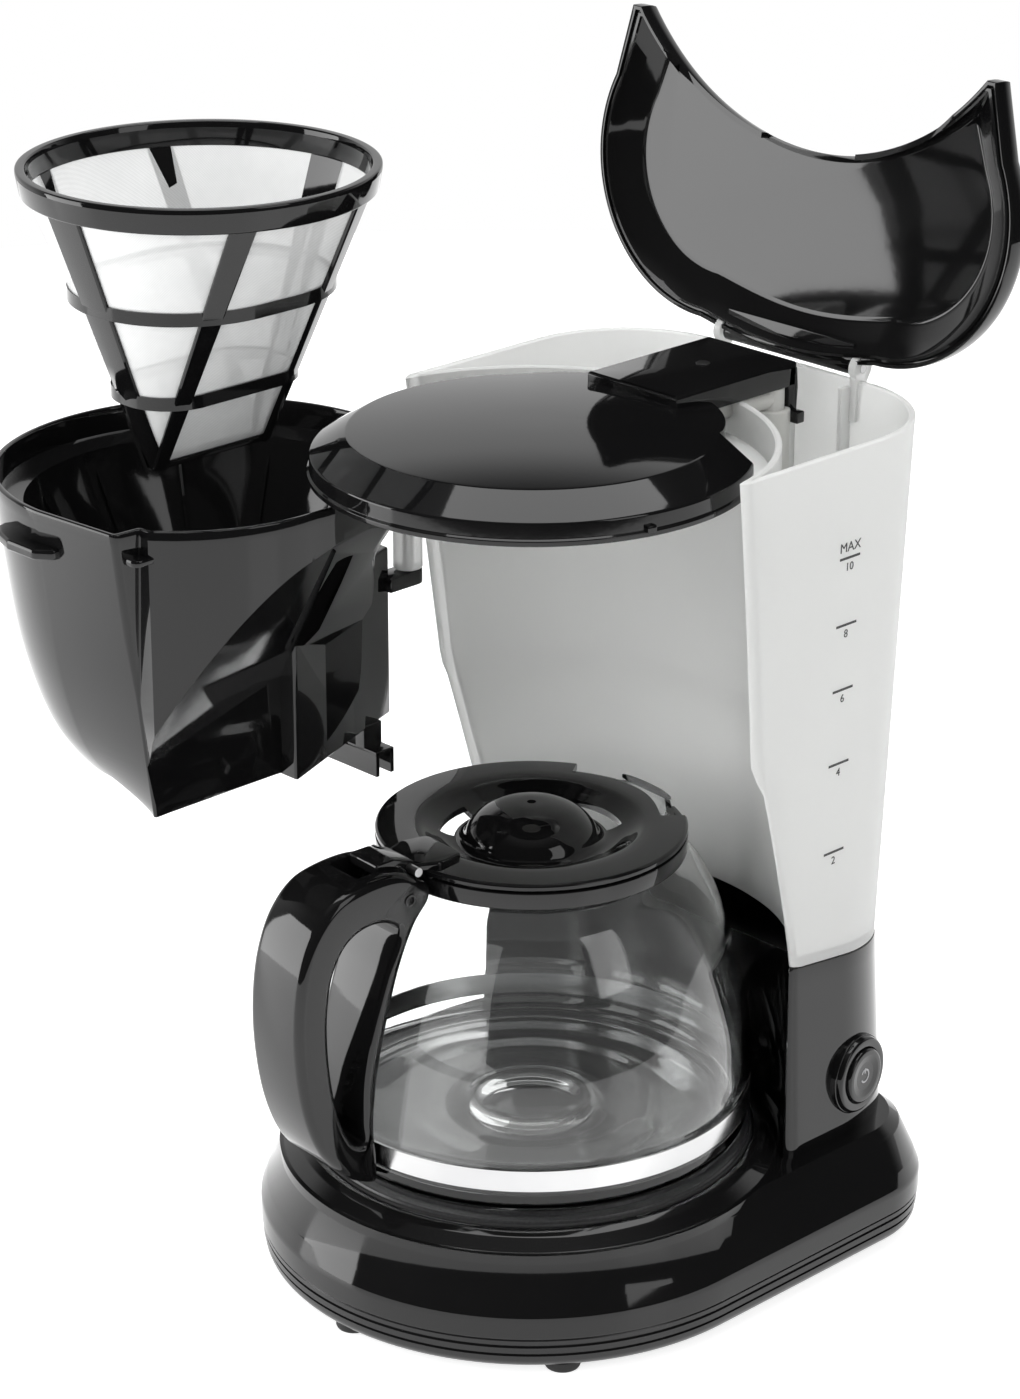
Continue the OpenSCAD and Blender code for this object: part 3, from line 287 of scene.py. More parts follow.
def clipped(form, point, normal):
    """form without what lies beyond a plane, closed again there."""
    mesh = form.mesh("bench", 1.0)
    work = bmesh.new()
    work.from_mesh(mesh)
    cut = bmesh.ops.bisect_plane(work, geom=work.verts[:] + work.edges[:] + work.faces[:], dist=1e-4,
                                 plane_co=point, plane_no=normal, clear_outer=True)
    edges = [g for g in cut["geom_cut"] if isinstance(g, bmesh.types.BMEdge)]
    bmesh.ops.holes_fill(work, edges=edges, sides=0)
    bmesh.ops.recalc_face_normals(work, faces=work.faces)
    work.to_mesh(mesh)
    work.free()
    return read_form(mesh)


def settle(obj, body, nodes=()):
    """Says what a finished piece rides on and stands for."""
    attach(obj, body)
    if nodes:
        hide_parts(*nodes)
    return obj


def smooth(mesh, crease):
    mesh.shade_smooth()
    mesh.set_sharp_from_angle(angle=math.radians(crease))


def piece(name, form, finish, body, nodes=(), crease=34):
    obj = bpy.data.objects.new(name, form.mesh(name))
    bpy.context.collection.objects.link(obj)
    smooth(obj.data, crease)
    obj.data.materials.append(finish)
    return settle(obj, body, nodes)


# --- finishes --------------------------------------------------------------------------------

class Value:
    """A socket of a finish that takes part in plain arithmetic."""

    def __init__(self, finish, socket):
        self.finish, self.socket = finish, socket

    def _maths(self, operation, *values):
        return self.finish.node("ShaderNodeMath", {"operation": operation}, values)

    def __add__(self, other):
        return self._maths("ADD", self, other)

    __radd__ = __add__

    def __rsub__(self, other):
        return self._maths("SUBTRACT", other, self)

    def __mul__(self, other):
        return self._maths("MULTIPLY", self, other)

    __rmul__ = __mul__

    def __pow__(self, other):
        return self._maths("POWER", self, other)

    def wave(self):
        return self._maths("SINE", self)


class Finish:
    """One material, or the world, built from nodes."""

    def __init__(self, name, kind="materials"):
        self.material = getattr(bpy.data, kind).new(name)
        self.material.use_nodes = True
        self.tree = self.material.node_tree
        self.tree.nodes.clear()

    def larger(self, *values):
        return self.node("ShaderNodeMath", {"operation": "MAXIMUM"}, values)

    def node(self, kind, settings=None, values=(), out=0):
        node = self.tree.nodes.new(kind)
        for key, value in (settings or {}).items():
            if key == "stops":
                ramp = node.color_ramp.elements
                while len(ramp) < len(value):
                    ramp.new(0.5)
                for stop, (place, shade) in zip(ramp, value):
                    stop.position, stop.color = place, (*shade, 1)
            else:
                setattr(node, key, value)
        for key, value in (values.items() if isinstance(values, dict) else enumerate(values)):
            if isinstance(value, Value):
                self.tree.links.new(value.socket, node.inputs[key])
            elif value is not None:
                node.inputs[key].default_value = value
        return Value(self, node.outputs[out]) if node.outputs else None

    def place(self, stretch=(1, 1, 1), turn=(0, 0, 0)):
        where = self.node("ShaderNodeTexCoord", out=3)
        return self.node("ShaderNodeMapping", values={"Vector": where, "Rotation": turn, "Scale": stretch})

    def axis(self, letter, where=None):
        return self.node("ShaderNodeSeparateXYZ", values=[where or self.place()], out="XYZ".index(letter))

    def noise(self, scale, detail=3.0, rough=0.5, where=None):
        return self.node("ShaderNodeTexNoise", values={"Vector": where or self.place(), "Scale": scale,
                                                       "Detail": detail, "Roughness": rough})

    def ramp(self, value, *stops):
        return self.node("ShaderNodeValToRGB", {"stops": stops}, [value])

    def spread(self, value, low, high, to_low=0.0, to_high=1.0):
        return self.node("ShaderNodeMapRange", {"interpolation_type": "SMOOTHSTEP"},
                         [value, low, high, to_low, to_high])

    def bump(self, height, strength, distance, under=None):
        return self.node("ShaderNodeBump", values={"Height": height, "Strength": strength,
                                                   "Distance": distance, "Normal": under})

    def done(self, **sockets):
        names = {key.replace("_", " "): value for key, value in sockets.items()}
        shader = self.node("ShaderNodeBsdfPrincipled", values=names)
        self.node("ShaderNodeOutputMaterial", values=[shader])
        return self.material


def gloss_black(name, shade=0.005, rough=0.03, grain=0.5):
    f = Finish(name)
    cloud = f.noise(14, 3)
    skin = f.noise(420, 2, 0.4)
    smear = f.noise(60, 4, 0.6, f.place((1, 1, 0.25)))
    low, high = (shade * 0.8, shade * 0.8, shade * 0.85), (shade * 1.3, shade * 1.28, shade * 1.3)
    colour = f.ramp(cloud, (0.3, low), (0.75, high))
    return f.done(Base_Color=colour, Roughness=rough + smear * 0.05 * grain + cloud * 0.02,
                  Normal=f.bump(skin, 0.05 * grain, 0.00012), IOR=1.46)


def satin_black(name, shade=0.012, rough=0.32):
    f = Finish(name)
    grain = f.noise(1500, 3, 0.6)
    cloud = f.noise(30, 3)
    colour = f.ramp(cloud, (0.25, (shade * 0.8,) * 3), (0.8, (shade * 1.4,) * 3))
    return f.done(Base_Color=colour, Roughness=rough + grain * 0.12, Normal=f.bump(grain, 0.12, 0.00008))


def milky_plastic(name):
    f = Finish(name)
    cloud = f.noise(9, 4, 0.55)
    streak = f.noise(30, 3, 0.5, f.place((1, 1, 0.12)))
    skin = f.noise(700, 3, 0.5)
    colour = f.ramp(cloud * 0.6 + streak * 0.4, (0.25, (0.90, 0.905, 0.895)), (0.8, (0.95, 0.955, 0.945)))
    return f.done(Base_Color=colour, Roughness=0.34 + skin * 0.1 + streak * 0.05,
                  Transmission_Weight=0.45, IOR=1.3, Normal=f.bump(skin, 0.1, 0.0001))


def clear_glass(name):
    f = Finish(name)
    film = f.noise(40, 3)
    wave = f.noise(16, 2)
    colour = f.ramp(film, (0.2, (0.975, 0.985, 0.982)), (0.9, (0.995, 1.0, 0.998)))
    return f.done(Base_Color=colour, Roughness=film * 0.006, Transmission_Weight=1.0, IOR=1.47,
                  Normal=f.bump(wave, 0.06, 0.0006))


def bright_steel(name, shade=0.72, rough=0.16, stretch=(1, 1, 60), scale=60):
    f = Finish(name)
    hair = f.noise(scale, 4, 0.6, f.place(stretch))
    cloud = f.noise(25, 3)
    colour = f.ramp(cloud, (0.2, (shade * 0.9, shade * 0.9, shade * 0.91)), (0.8, (shade * 1.1,) * 3))
    return f.done(Base_Color=colour, Metallic=1.0, Roughness=rough + hair * 0.12,
                  Normal=f.bump(hair, 0.06, 0.00008))


def brass(name):
    f = Finish(name)
    cloud = f.noise(200, 4)
    colour = f.ramp(cloud, (0.25, (0.52, 0.40, 0.17)), (0.8, (0.70, 0.56, 0.28)))
    return f.done(Base_Color=colour, Metallic=1.0, Roughness=0.24 + cloud * 0.15)


def plain_plastic(name, shade, rough=0.4, clear=0.0):
    f = Finish(name)
    cloud = f.noise(60, 3)
    skin = f.noise(900, 3)
    dark = tuple(c * 0.9 for c in shade)
    return f.done(Base_Color=f.ramp(cloud, (0.25, dark), (0.8, shade)), Roughness=rough + skin * 0.08,
                  Transmission_Weight=clear, Normal=f.bump(skin, 0.1, 0.0001))


def plate_coating(name):
    f = Finish(name)
    x, y = f.axis("X"), f.axis("Y")
    ring = (((x * x + y * y) ** 0.5) * 5200).wave()
    speck = f.noise(900, 3)
    colour = f.ramp(speck, (0.35, (0.018, 0.018, 0.019)), (0.7, (0.035, 0.035, 0.036)))
    return f.done(Base_Color=colour, Roughness=0.26 + speck * 0.1,
                  Normal=f.bump(ring * 0.4 + speck, 0.12, 0.00006))


def nylon_mesh(name):
    f = Finish(name)
    x, y, z = f.axis("X"), f.axis("Y"), f.axis("Z")
    warp = ((x + y * 0.37) * 7200).wave()
    weft = (z * 8200).wave()
    cloud = f.noise(26, 4, 0.6)
    stain = f.noise(70, 3, 0.6)
    weave = warp * weft
    colour = f.ramp(cloud * 0.7 + stain * 0.3, (0.28, (0.80, 0.81, 0.81)), (0.72, (0.96, 0.965, 0.96)))
    return f.done(Base_Color=colour, Roughness=0.5 + weave * 0.08, Alpha=0.5 + weave * 0.05 + cloud * 0.12,
                  Normal=f.bump(weave, 0.25, 0.00005))


def ink(name, shade=0.03):
    f = Finish(name)
    speck = f.noise(2500, 3)
    colour = f.ramp(speck, (0.3, (shade, shade, shade)), (0.8, (shade * 1.8, shade * 1.8, shade * 1.9)))
    return f.done(Base_Color=colour, Roughness=0.45 + speck * 0.15)


BLACK = gloss_black("gloss_black_plastic")
BLACK_SKIRT = gloss_black("black_plastic_underbody", 0.012, 0.2, 1.4)
SATIN = satin_black("satin_black_plastic")
RUBBER = satin_black("black_rubber", 0.02, 0.6)
MILK = milky_plastic("milky_tank_plastic")
GLASS = clear_glass("clear_carafe_glass")
BAND = bright_steel("polished_steel_band", 0.6, 0.12)
STEEL = bright_steel("plain_steel", 0.55, 0.24, (1, 1, 1), 500)
BRASS = brass("brass_screws")
PLATE = plate_coating("hot_plate_coating")
MESH = nylon_mesh("fine_nylon_mesh")
INK = ink("level_ink")
SILICONE = plain_plastic("clear_silicone", (0.80, 0.80, 0.77), 0.38, 0.35)
WHITE = plain_plastic("white_nylon", (0.82, 0.81, 0.77), 0.42)
CERAMIC = plain_plastic("ceramic", (0.78, 0.75, 0.66), 0.55)
RED = plain_plastic("red_silicone", (0.45, 0.07, 0.04), 0.5)
MARK = ink("switch_mark", 0.32)


# --- base ------------------------------------------------------------------------------------

BASE_R, BASE_REAR, BASE_CORNER = 91.5, 118.0, 36.0
BASE_MID, BASE_X = BASE_REAR - BASE_CORNER, BASE_R - BASE_CORNER
SEAM_Z, DECK_Z, RING_R, SEAL_R = 15.0, 42.0, 84.0, 75.0


def base_plan(inset):
    """Outline of the base: a round front, straight sides and two rear corners."""
    r, c = BASE_R - inset, BASE_CORNER - inset
    ring = arc(r, math.pi, 2 * math.pi, 96)
    ring += [(r, BASE_MID * i / 12) for i in range(1, 13)]
    ring += arc(c, 0, math.pi / 2, 16, (BASE_X, BASE_MID), 1)
    ring += [(BASE_X - 2 * BASE_X * i / 24, BASE_REAR - inset) for i in range(1, 25)]
    ring += arc(c, math.pi / 2, math.pi, 16, (-BASE_X, BASE_MID), 1)
    ring += [(-r, BASE_MID * (1 - i / 12)) for i in range(1, 12)]
    return ring


RING_ANGLES = [math.atan2(y, x) for x, y in base_plan(11)]


def skirt_ring(inset, z):
    """One level of the skirt, held outside the raised ring at the front."""
    ring = []
    for x, y in base_plan(inset):
        far = math.hypot(x, y)
        push = max(1.0, (RING_R + 0.8) / far) if z > 36 else 1.0
        ring.append((x * push, y * push, z))
    return ring


def deck_ring(radius, z):
    return [(radius * math.cos(a), radius * math.sin(a), z) for a in RING_ANGLES]


side_levels = bent([(0.35, SEAM_Z), (0, SEAM_Z + 0.5, 0.3), (0, 22.5, 6), (2.2, 28, 8), (7.4, 39.2, 2.2),
                    (11, DECK_Z)], 6)
hump = bent([(RING_R + 0.6, DECK_Z), (RING_R - 0.6, DECK_Z + 0.4, 0.8), (79.5, DECK_Z + 3.8, 3.5),
             (77.2, DECK_Z + 5, 0.8), (SEAL_R, DECK_Z + 5, 0.4), (SEAL_R, 44.5)], 5)
well = [deck_ring(66, 44.5), deck_ring(66, 39.6)]
SKIRT_INSIDE = ((12.4, 39.6), (10.4, 38), (4.4, 25.5), (2.4, 21.5), (2.4, SEAM_Z))
levels = [skirt_ring(i, z) for i, z in side_levels] + [deck_ring(r, z) for r, z in hump] + well
levels += [at_height(base_plan(i), z) for i, z in SKIRT_INSIDE]
shell = Form().loft(levels, wrap=True)


# --- column and tank: one tapering shaft in two materials -------------------------------------

SHAFT_HALF, RIM_HALF, SHAFT_CORNER, NOSE = 72.5, 77.5, 42.0, 8.0
SHAFT_REAR, RIM_REAR, TANK_Z, RIM_Z, CREASE_Z = 116.0, 121.0, 108.0, 288.0, 183.0
BAY_R, NICHE_R, TANK_TILT, SEAM_Y = 86.0, 76.5, math.radians(6.8), 75.0


def tank_half(z):
    return lerp(SHAFT_HALF, RIM_HALF, (z - TANK_Z) / (RIM_Z - TANK_Z))


def tank_rear(z):
    return lerp(SHAFT_REAR, RIM_REAR, (z - TANK_Z) / (RIM_Z - TANK_Z))


def tank_front(z):
    if z < CREASE_Z:
        return lerp(50, 25, (z - 96) / (CREASE_Z - 96))
    return lerp(25, 12, (z - CREASE_Z) / (RIM_Z - CREASE_Z))


def column_half(z):
    return lerp(SHAFT_HALF + 2.5, SHAFT_HALF, (z - DECK_Z) / (TANK_Z - DECK_Z))


def column_rear(z):
    return lerp(SHAFT_REAR + 2.5, SHAFT_REAR, (z - DECK_Z) / (TANK_Z - DECK_Z))


def bay_radius(z):
    if z < 113:
        return BAY_R
    if z < CREASE_Z - 4:
        return lerp(BAY_R, NICHE_R + 3.2, (z - 113) / (CREASE_Z - 4 - 113))
    return lerp(NICHE_R + 3.2, NICHE_R, min(1, (z - CREASE_Z + 4) / 9))


def shaft_plan(half, front, rear, bay, inset=0.0, edge=1.6):
    """Outline of the shaft at one height, anticlockwise from the right nose."""
    nose, corner, bay = NOSE - inset, SHAFT_CORNER - inset, bay + inset
    cx, cy = half - NOSE, front + NOSE
    low, high = -math.pi / 2, 0.0
    for _ in range(40):
        mid = (low + high) / 2
        if math.hypot(cx + nose * math.cos(mid), cy + nose * math.sin(mid)) > bay:
            high = mid
        else:
            low = mid
    turn = high
    meet = Vector((cx + nose * math.cos(turn), cy + nose * math.sin(turn)))
    start = turn + edge / nose
    p = Vector((cx + nose * math.cos(start), cy + nose * math.sin(start)))
    bay_turn = math.atan2(meet.y, meet.x)
    q_turn = bay_turn + edge / bay
    q = Vector((bay * math.cos(q_turn), bay * math.sin(q_turn)))
    right = [tuple(q * (1 - t) ** 2 + meet * (2 * t * (1 - t)) + p * t * t)
             for t in (k / 6 for k in range(7))]
    right += arc(nose, start, 0, 8, (cx, cy), 1)
    top = rear - SHAFT_CORNER
    right += [(half - inset, lerp(cy, top, k / 10)) for k in range(1, 11)]
    right += arc(corner, 0, math.pi / 2, 24, (half - SHAFT_CORNER, top), 1)
    rear_half = half - SHAFT_CORNER
    right += [(rear_half * (1 - k / 8), rear - inset) for k in range(1, 8)]
    left = [(-x, y) for x, y in reversed(right)]
    ring = right + [(0, rear - inset)] + left
    ring += arc(bay, math.pi - q_turn, q_turn, 72, first=1)[:-1]
    return ring


def column_ring(z, inset=0.0):
    return shaft_plan(column_half(z), 44, column_rear(z), BAY_R, inset)


def tank_ring(z, inset=0.0):
    return shaft_plan(tank_half(z), tank_front(z), tank_rear(z), bay_radius(z), inset)


def seam_height(y, rise=0.0):
    return TANK_Z + rise - (y - SEAM_Y) * math.tan(TANK_TILT)


def shaft_level(plan, low, share, high=None, inset=0.0, rise=0.0):
    """A ring of the shaft, part of the way from a level to the sloping seam or from the seam to a level."""
    middle = plan(TANK_Z)
    ring = []
    for i, (x, y) in enumerate(middle):
        seam = seam_height(y, rise)
        z = lerp(low, seam, share) if high is None else lerp(seam, high, share)
        px, py = plan(z, inset)[i]
        ring.append((px, py, z))
    return ring


foot_z = DECK_Z - 1
COLUMN_EDGE = ((0.12, -0.35), (0.45, -0.08), (1.0, 0))
levels = [shaft_level(column_ring, foot_z, t) for t in (0, 0.02, 0.3, 0.6, 0.9, 0.985)]
levels += [shaft_level(column_ring, foot_z, 1.0, inset=i, rise=r) for i, r in COLUMN_EDGE]
column = Form().loft(levels)
SWITCH_Z, SWITCH_TURN = 62.0, math.radians(8)
SWITCH_FACE = SHAFT_CORNER + 0.6
AT_CORNER = shift(column_half(SWITCH_Z) - SHAFT_CORNER, column_rear(SWITCH_Z) - SHAFT_CORNER, SWITCH_Z)
AT_SWITCH = AT_CORNER @ spin(SWITCH_TURN, "Z") @ spin(math.pi / 2, "Y")
seat_side = bent([(14, 31), (14, SWITCH_FACE, 0.5), (10.4, SWITCH_FACE)], 4)
seat = Form().turn([(10.4, 30), (14, 30)] + seat_side, 96)
GLAND = (-44.0, BASE_REAR, 27.0)
AT_GLAND = shift(*GLAND) @ spin(math.pi / 2, "X")
housing = Form().add(shell).add(column).add(seat, AT_SWITCH)
piece("housing_shell", housing, BLACK, "root", ["housing"], 30)

GROOVE = 0.9
band_levels = [(5, 3.5), (2.6, 4.6), (1.6, 5.8), (1.1, 7), (1, 8.6), (1 + GROOVE, 8.8), (1 + GROOVE, 9.6),
               (0.6, 9.8), (0.6, 11.8), (0.6 + GROOVE, 12), (0.6 + GROOVE, 12.8), (0.35, 13), (0.3, 14.5),
               (0.7, SEAM_Z), (4.4, SEAM_Z), (4.4, 7.9), (7.4, 5.9)]
under = Form().loft([at_height(base_plan(i), z) for i, z in band_levels])
piece("bottom_plate", under, BLACK_SKIRT, "root", ["base_plate"], 28)

plate_side = bent([(0, 49.7), (68, 49.7, 1.2), (69.2, 48.2, 0.5), (73.2, 48.2, 0.5), (73.5, 47.2)], 5)
dish = [(0, 49.5), (20, 49.5), (22, 49.7)] + plate_side[1:]
hot = Form().turn([(0, 46.7)] + dish + [(66, 47.2), (66, 46.7)], 192)
hot.turn([(40, 37), (56, 37), (56, 46.8), (40, 46.8)], 96)
piece("hot_plate_disc", hot, PLATE, "root", ["hot_plate"], 30)
seal = eased([(66.5, 44.5, 0.4), (74.5, 44.5, 0.4), (74.5, 47.2, 0.6), (66.5, 47.2, 0.4)], 3)
piece("plate_gasket", Form().turn(seal, 144), RUBBER, "root", ["plate_seal"])

# --- tank ------------------------------------------------------------------------------------

WALL = 2.2
TANK_EDGE = ((0.9, 0.0), (0.35, 0.12), (0.0, 0.5))
outer = [shaft_level(tank_ring, 0, 0.0, RIM_Z, inset=i, rise=r) for i, r in TANK_EDGE]
OUTER_SHARES = (0.05, 0.1, 0.16, 0.22, 0.28, 0.34, 0.38, 0.41, 0.44, 0.47, 0.52, 0.6, 0.7, 0.8, 0.9, 0.97)
INNER_SHARES = (0.9, 0.75, 0.6, 0.52, 0.47, 0.44, 0.41, 0.38, 0.3, 0.2, 0.1, 0.04)
outer += [shaft_level(tank_ring, 0, t, RIM_Z) for t in OUTER_SHARES]
outer += [at_height(tank_ring(RIM_Z - 0.5), RIM_Z - 0.5), at_height(tank_ring(RIM_Z, 0.5), RIM_Z)]
inner = [at_height(tank_ring(RIM_Z, WALL - 0.5), RIM_Z),
         at_height(tank_ring(RIM_Z - 0.6, WALL), RIM_Z - 0.6)]
inner += [shaft_level(tank_ring, 0, t, RIM_Z, WALL) for t in INNER_SHARES]
inner += [shaft_level(tank_ring, 0, 0, RIM_Z, WALL + 0.6, 3.2),
          shaft_level(tank_ring, 0, 0, RIM_Z, WALL + 3, 2.6)]
tank = Form().loft(outer + inner)

# shelf under the cover, the pivot's boss, the pocket and the clips at the rear wall
shelf = arc(1, math.radians(30), math.radians(150), 60)
shelf_ring = [(x * 75.8, y * 75.8) for x, y in shelf] + [(x * 50, y * 50) for x, y in reversed(shelf)]
tank.slab([(x, max(y, 38)) for x, y in shelf_ring], 274.6, 276.6, 0.3, 0.3, 2)
PIVOT = (-74.0, 14.0)
tank.turn([(0, 222), (4.6, 222), (5, 222.4), (5, 261.6), (4.6, 262), (0, 262)], 48, centre=PIVOT)
RAIL_TOP, RAIL_W = 286, 1.8
for x, w, low in ((16.4, 13, 222), (-16.4, 10, 240)):
    ring = [(x - w, RAIL_TOP)] + arc(w, math.pi, 2 * math.pi, 16, (x, low + w))
    ring += [(x + w, RAIL_TOP), (x + w - RAIL_W, RAIL_TOP)]
    ring += arc(w - RAIL_W, 2 * math.pi, math.pi, 16, (x, low + w)) + [(x - w + RAIL_W, RAIL_TOP)]
    rail = Form().slab(ring, 0, 5, 0.5, 0.5, 2)
    tank.add(rail, shift(0, 118.4) @ spin(math.pi / 2, "X"))
HINGE_Y, HINGE_Z, LUG_X, LUG_W = RIM_REAR, RIM_Z + 4, 29.0, 3.0
ear_round = arc(4.4, math.radians(-40), math.radians(220), 26, (HINGE_Y, HINGE_Z))
ear = ear_round + [(HINGE_Y - 3.6, RIM_Z - 14), (HINGE_Y - 0.6, RIM_Z - 14), (HINGE_Y + 0.2, RIM_Z - 4)]
hole = arc(1.65, math.radians(-40), math.radians(320), 30, (HINGE_Y, HINGE_Z))[:-1]
SIDEWAYS = Matrix(((0, 0, 1, 0), (1, 0, 0, 0), (0, 1, 0, 0), (0, 0, 0, 1)))
for side in (-1, 1):
    lug = Form().slab(ear, -LUG_W / 2, LUG_W / 2, 0.4, 0.4, 2)
    bore = Form().slab(hole, -5, 5, 0, 0, 1)
    tank.add(cut_out(lug, bore), shift(side * (LUG_X + LUG_W / 2), 0) @ SIDEWAYS)
piece("tank_shell", tank, MILK, "root", ["water_tank"], 32)

riser = eased([(4, 109.5), (6, 109.5, 0.4), (6, 281, 0.8), (4, 281, 0.4)], 4)
piece("riser_pipe", Form().turn(riser, 64, centre=(16.42, 94)), SILICONE, "root", ["riser_tube"])


# --- level scale -----------------------------------------------------------------------------

LEAN = math.atan((RIM_HALF - SHAFT_HALF) / (RIM_Z - TANK_Z))
MARKS = (148.5, 180.0, 206.0, 228.5, 251.5)
MARK_Y = 66.0


def figure(words, height, y, z):
    """Small printed figures on the right cheek of the tank."""
    text = bpy.data.curves.new("figure", "FONT")
    text.body, text.size, text.extrude = words, height * MM * 1.4, 0.00006
    text.align_x, text.align_y, text.resolution_u = "CENTER", "CENTER", 4
    obj = bpy.data.objects.new("figure", text)
    bpy.context.collection.objects.link(obj)
    mesh = bpy.data.meshes.new_from_object(obj.evaluated_get(bpy.context.evaluated_depsgraph_get()))
    bpy.data.objects.remove(obj)
    mesh.transform(in_metres(shift(tank_half(z) + 0.07, y, z)) @ spin(LEAN, "Y") @ SIDEWAYS)
    return mesh


def joined_meshes(name, meshes, finish, body, nodes=(), crease=34):
    work = bmesh.new()
    for mesh in meshes:
        work.from_mesh(mesh)
    bmesh.ops.recalc_face_normals(work, faces=work.faces)
    whole = bpy.data.meshes.new(name)
    work.to_mesh(whole)
    work.free()
    obj = bpy.data.objects.new(name, whole)
    bpy.context.collection.objects.link(obj)
    smooth(whole, crease)
    whole.materials.clear()
    whole.materials.append(finish)
    return settle(obj, body, nodes)


class Nodes:
    """One geometry tree with named inputs."""

    def __init__(self, name, **sizes):
        self.tree = bpy.data.node_groups.new(name, "GeometryNodeTree")
        face = self.tree.interface
        face.new_socket("Geometry", in_out="OUTPUT", socket_type="NodeSocketGeometry")
        self.ids = {}
        for label, size in sizes.items():
            kind = {int: "NodeSocketInt", float: "NodeSocketFloat"}.get(type(size), "NodeSocketMaterial")
            socket = face.new_socket(label, in_out="INPUT", socket_type=kind)
            socket.default_value = size
            self.ids[label] = socket.identifier
        self.inputs = self.tree.nodes.new("NodeGroupInput")
        self.output = self.tree.nodes.new("NodeGroupOutput")

    def size(self, label):
        return self.inputs.outputs[label]

    def node(self, kind, settings=None, values=(), out=0):
        node = self.tree.nodes.new(kind)
        for key, value in (settings or {}).items():
            setattr(node, key, value)
        for key, value in (values.items() if isinstance(values, dict) else enumerate(values)):
            if isinstance(value, bpy.types.NodeSocket):
                self.tree.links.new(value, node.inputs[key])
            elif value is not None:
                node.inputs[key].default_value = value
        return node.outputs[out]

    def maths(self, operation, *values):
        return self.node("ShaderNodeMath", {"operation": operation}, values)

    def end(self, geometry, label="Finish"):
        solid = self.node("GeometryNodeRealizeInstances", values=[geometry])
        dressed = self.node("GeometryNodeSetMaterial",
                            values={"Geometry": solid, "Material": self.size(label)})
        self.tree.links.new(dressed, self.output.inputs[0])
        return self

    def mesh(self, name, **sizes):
        """The tree's result for these sizes, as a plain mesh."""
        obj = bpy.data.objects.new(name, bpy.data.meshes.new(name))
        bpy.context.collection.objects.link(obj)
        step = obj.modifiers.new(name, "NODES")
        step.node_group = self.tree
        for label, size in sizes.items():
            step[self.ids[label]] = size
        mesh = bpy.data.meshes.new_from_object(obj.evaluated_get(bpy.context.evaluated_depsgraph_get()))
        bpy.data.objects.remove(obj)
        return mesh


def scale_lines():
    """One thin printed bar on each point of a line of marks."""
    g = Nodes("scale_lines", Lean=LEAN, Length=0.0095, Height=0.0008, Finish=INK)
    bar = g.node("GeometryNodeMeshCube", values={"Size": g.node(
        "ShaderNodeCombineXYZ", values=[0.0002, g.size("Length"), g.size("Height")])})
    turn = g.node("ShaderNodeCombineXYZ", values=[0.0, g.size("Lean"), 0.0])
    one = g.node("GeometryNodeMeshLine", {"mode": "OFFSET"}, {"Count": 1})
    row = g.node("GeometryNodeInstanceOnPoints", values={"Points": one, "Instance": bar, "Rotation": turn})
    return g.end(row)


scale_line = scale_lines()
marks = []
for z in MARKS:
    mark = scale_line.mesh("mark")
    mark.transform(in_metres(shift(tank_half(z) + 0.03, MARK_Y, z)))
    marks.append(mark)
joined_meshes("level_scale", marks, INK, "root", ["level_marks"])
figures = [figure("MAX", 3.3, MARK_Y, MARKS[-1] + 3.6)]
figures += [figure(str(2 * i + 2), 2.8, MARK_Y, z - 3.2) for i, z in enumerate(MARKS)]
joined_meshes("level_figures", figures, INK, "root")

# --- front cover -----------------------------------------------------------------------------

COVER_R, COVER_Z, DISC_R, COVER_CUT = 71.4, 277.0, 59.0, 40.0
DISC_Z = COVER_Z + 14
DISC_LONGER = 0.1
dome = [(r, DISC_Z + 4 - 4 * (r / DISC_R) ** 2) for r in (0, 8, 16, 24, 32, 40, 47, 53, 57, 58.3)]
cover_side = dome + bent([(58.6, DISC_Z + 0.05), (DISC_R + 0.1, DISC_Z - 0.1, 0.35),
                          (COVER_R - 0.9, COVER_Z + 7.2, 1.1), (COVER_R - 0.8, COVER_Z + 2.3, 0.3),
                          (COVER_R, COVER_Z + 1.7, 0.4), (COVER_R, COVER_Z, 0.5), (COVER_R - 2, COVER_Z)])
under_side = [(COVER_R - 2.8, COVER_Z + 5.6), (DISC_R - 1, DISC_Z - 2), (30, DISC_Z + 1), (0, DISC_Z + 2)]


def disc_back(r, split):
    """Rear edge of the disc at one radius, a little longer than round."""
    back = []
    for k in range(41):
        a = split + (math.pi - 2 * split) * k / 40
        reach = r * (1 + DISC_LONGER * math.sin(math.pi * k / 40) ** 0.7)
        back.append((reach * math.cos(a), reach * math.sin(a)))
    return back


def cover_ring(r, z):
    """Round in front; where the rim ends at the tank, only the disc goes on."""
    disc = math.sqrt(DISC_R ** 2 - COVER_CUT ** 2)
    split = math.atan2(COVER_CUT, disc)
    if r <= DISC_R:
        front = arc(r, math.pi - split, 2 * math.pi + split, 120)
        return at_height(front + [front[-1]] * 7 + disc_back(r, split) + [front[0]] * 7, z)
    reach = math.sqrt(r * r - COVER_CUT ** 2)
    end = math.atan2(COVER_CUT, reach)
    front = arc(r, math.pi - end, 2 * math.pi + end, 120)
    flank = [(lerp(reach, disc, k / 8), COVER_CUT) for k in range(1, 8)]
    return at_height(front + flank + disc_back(DISC_R, split) + [(-x, y) for x, y in reversed(flank)], z)


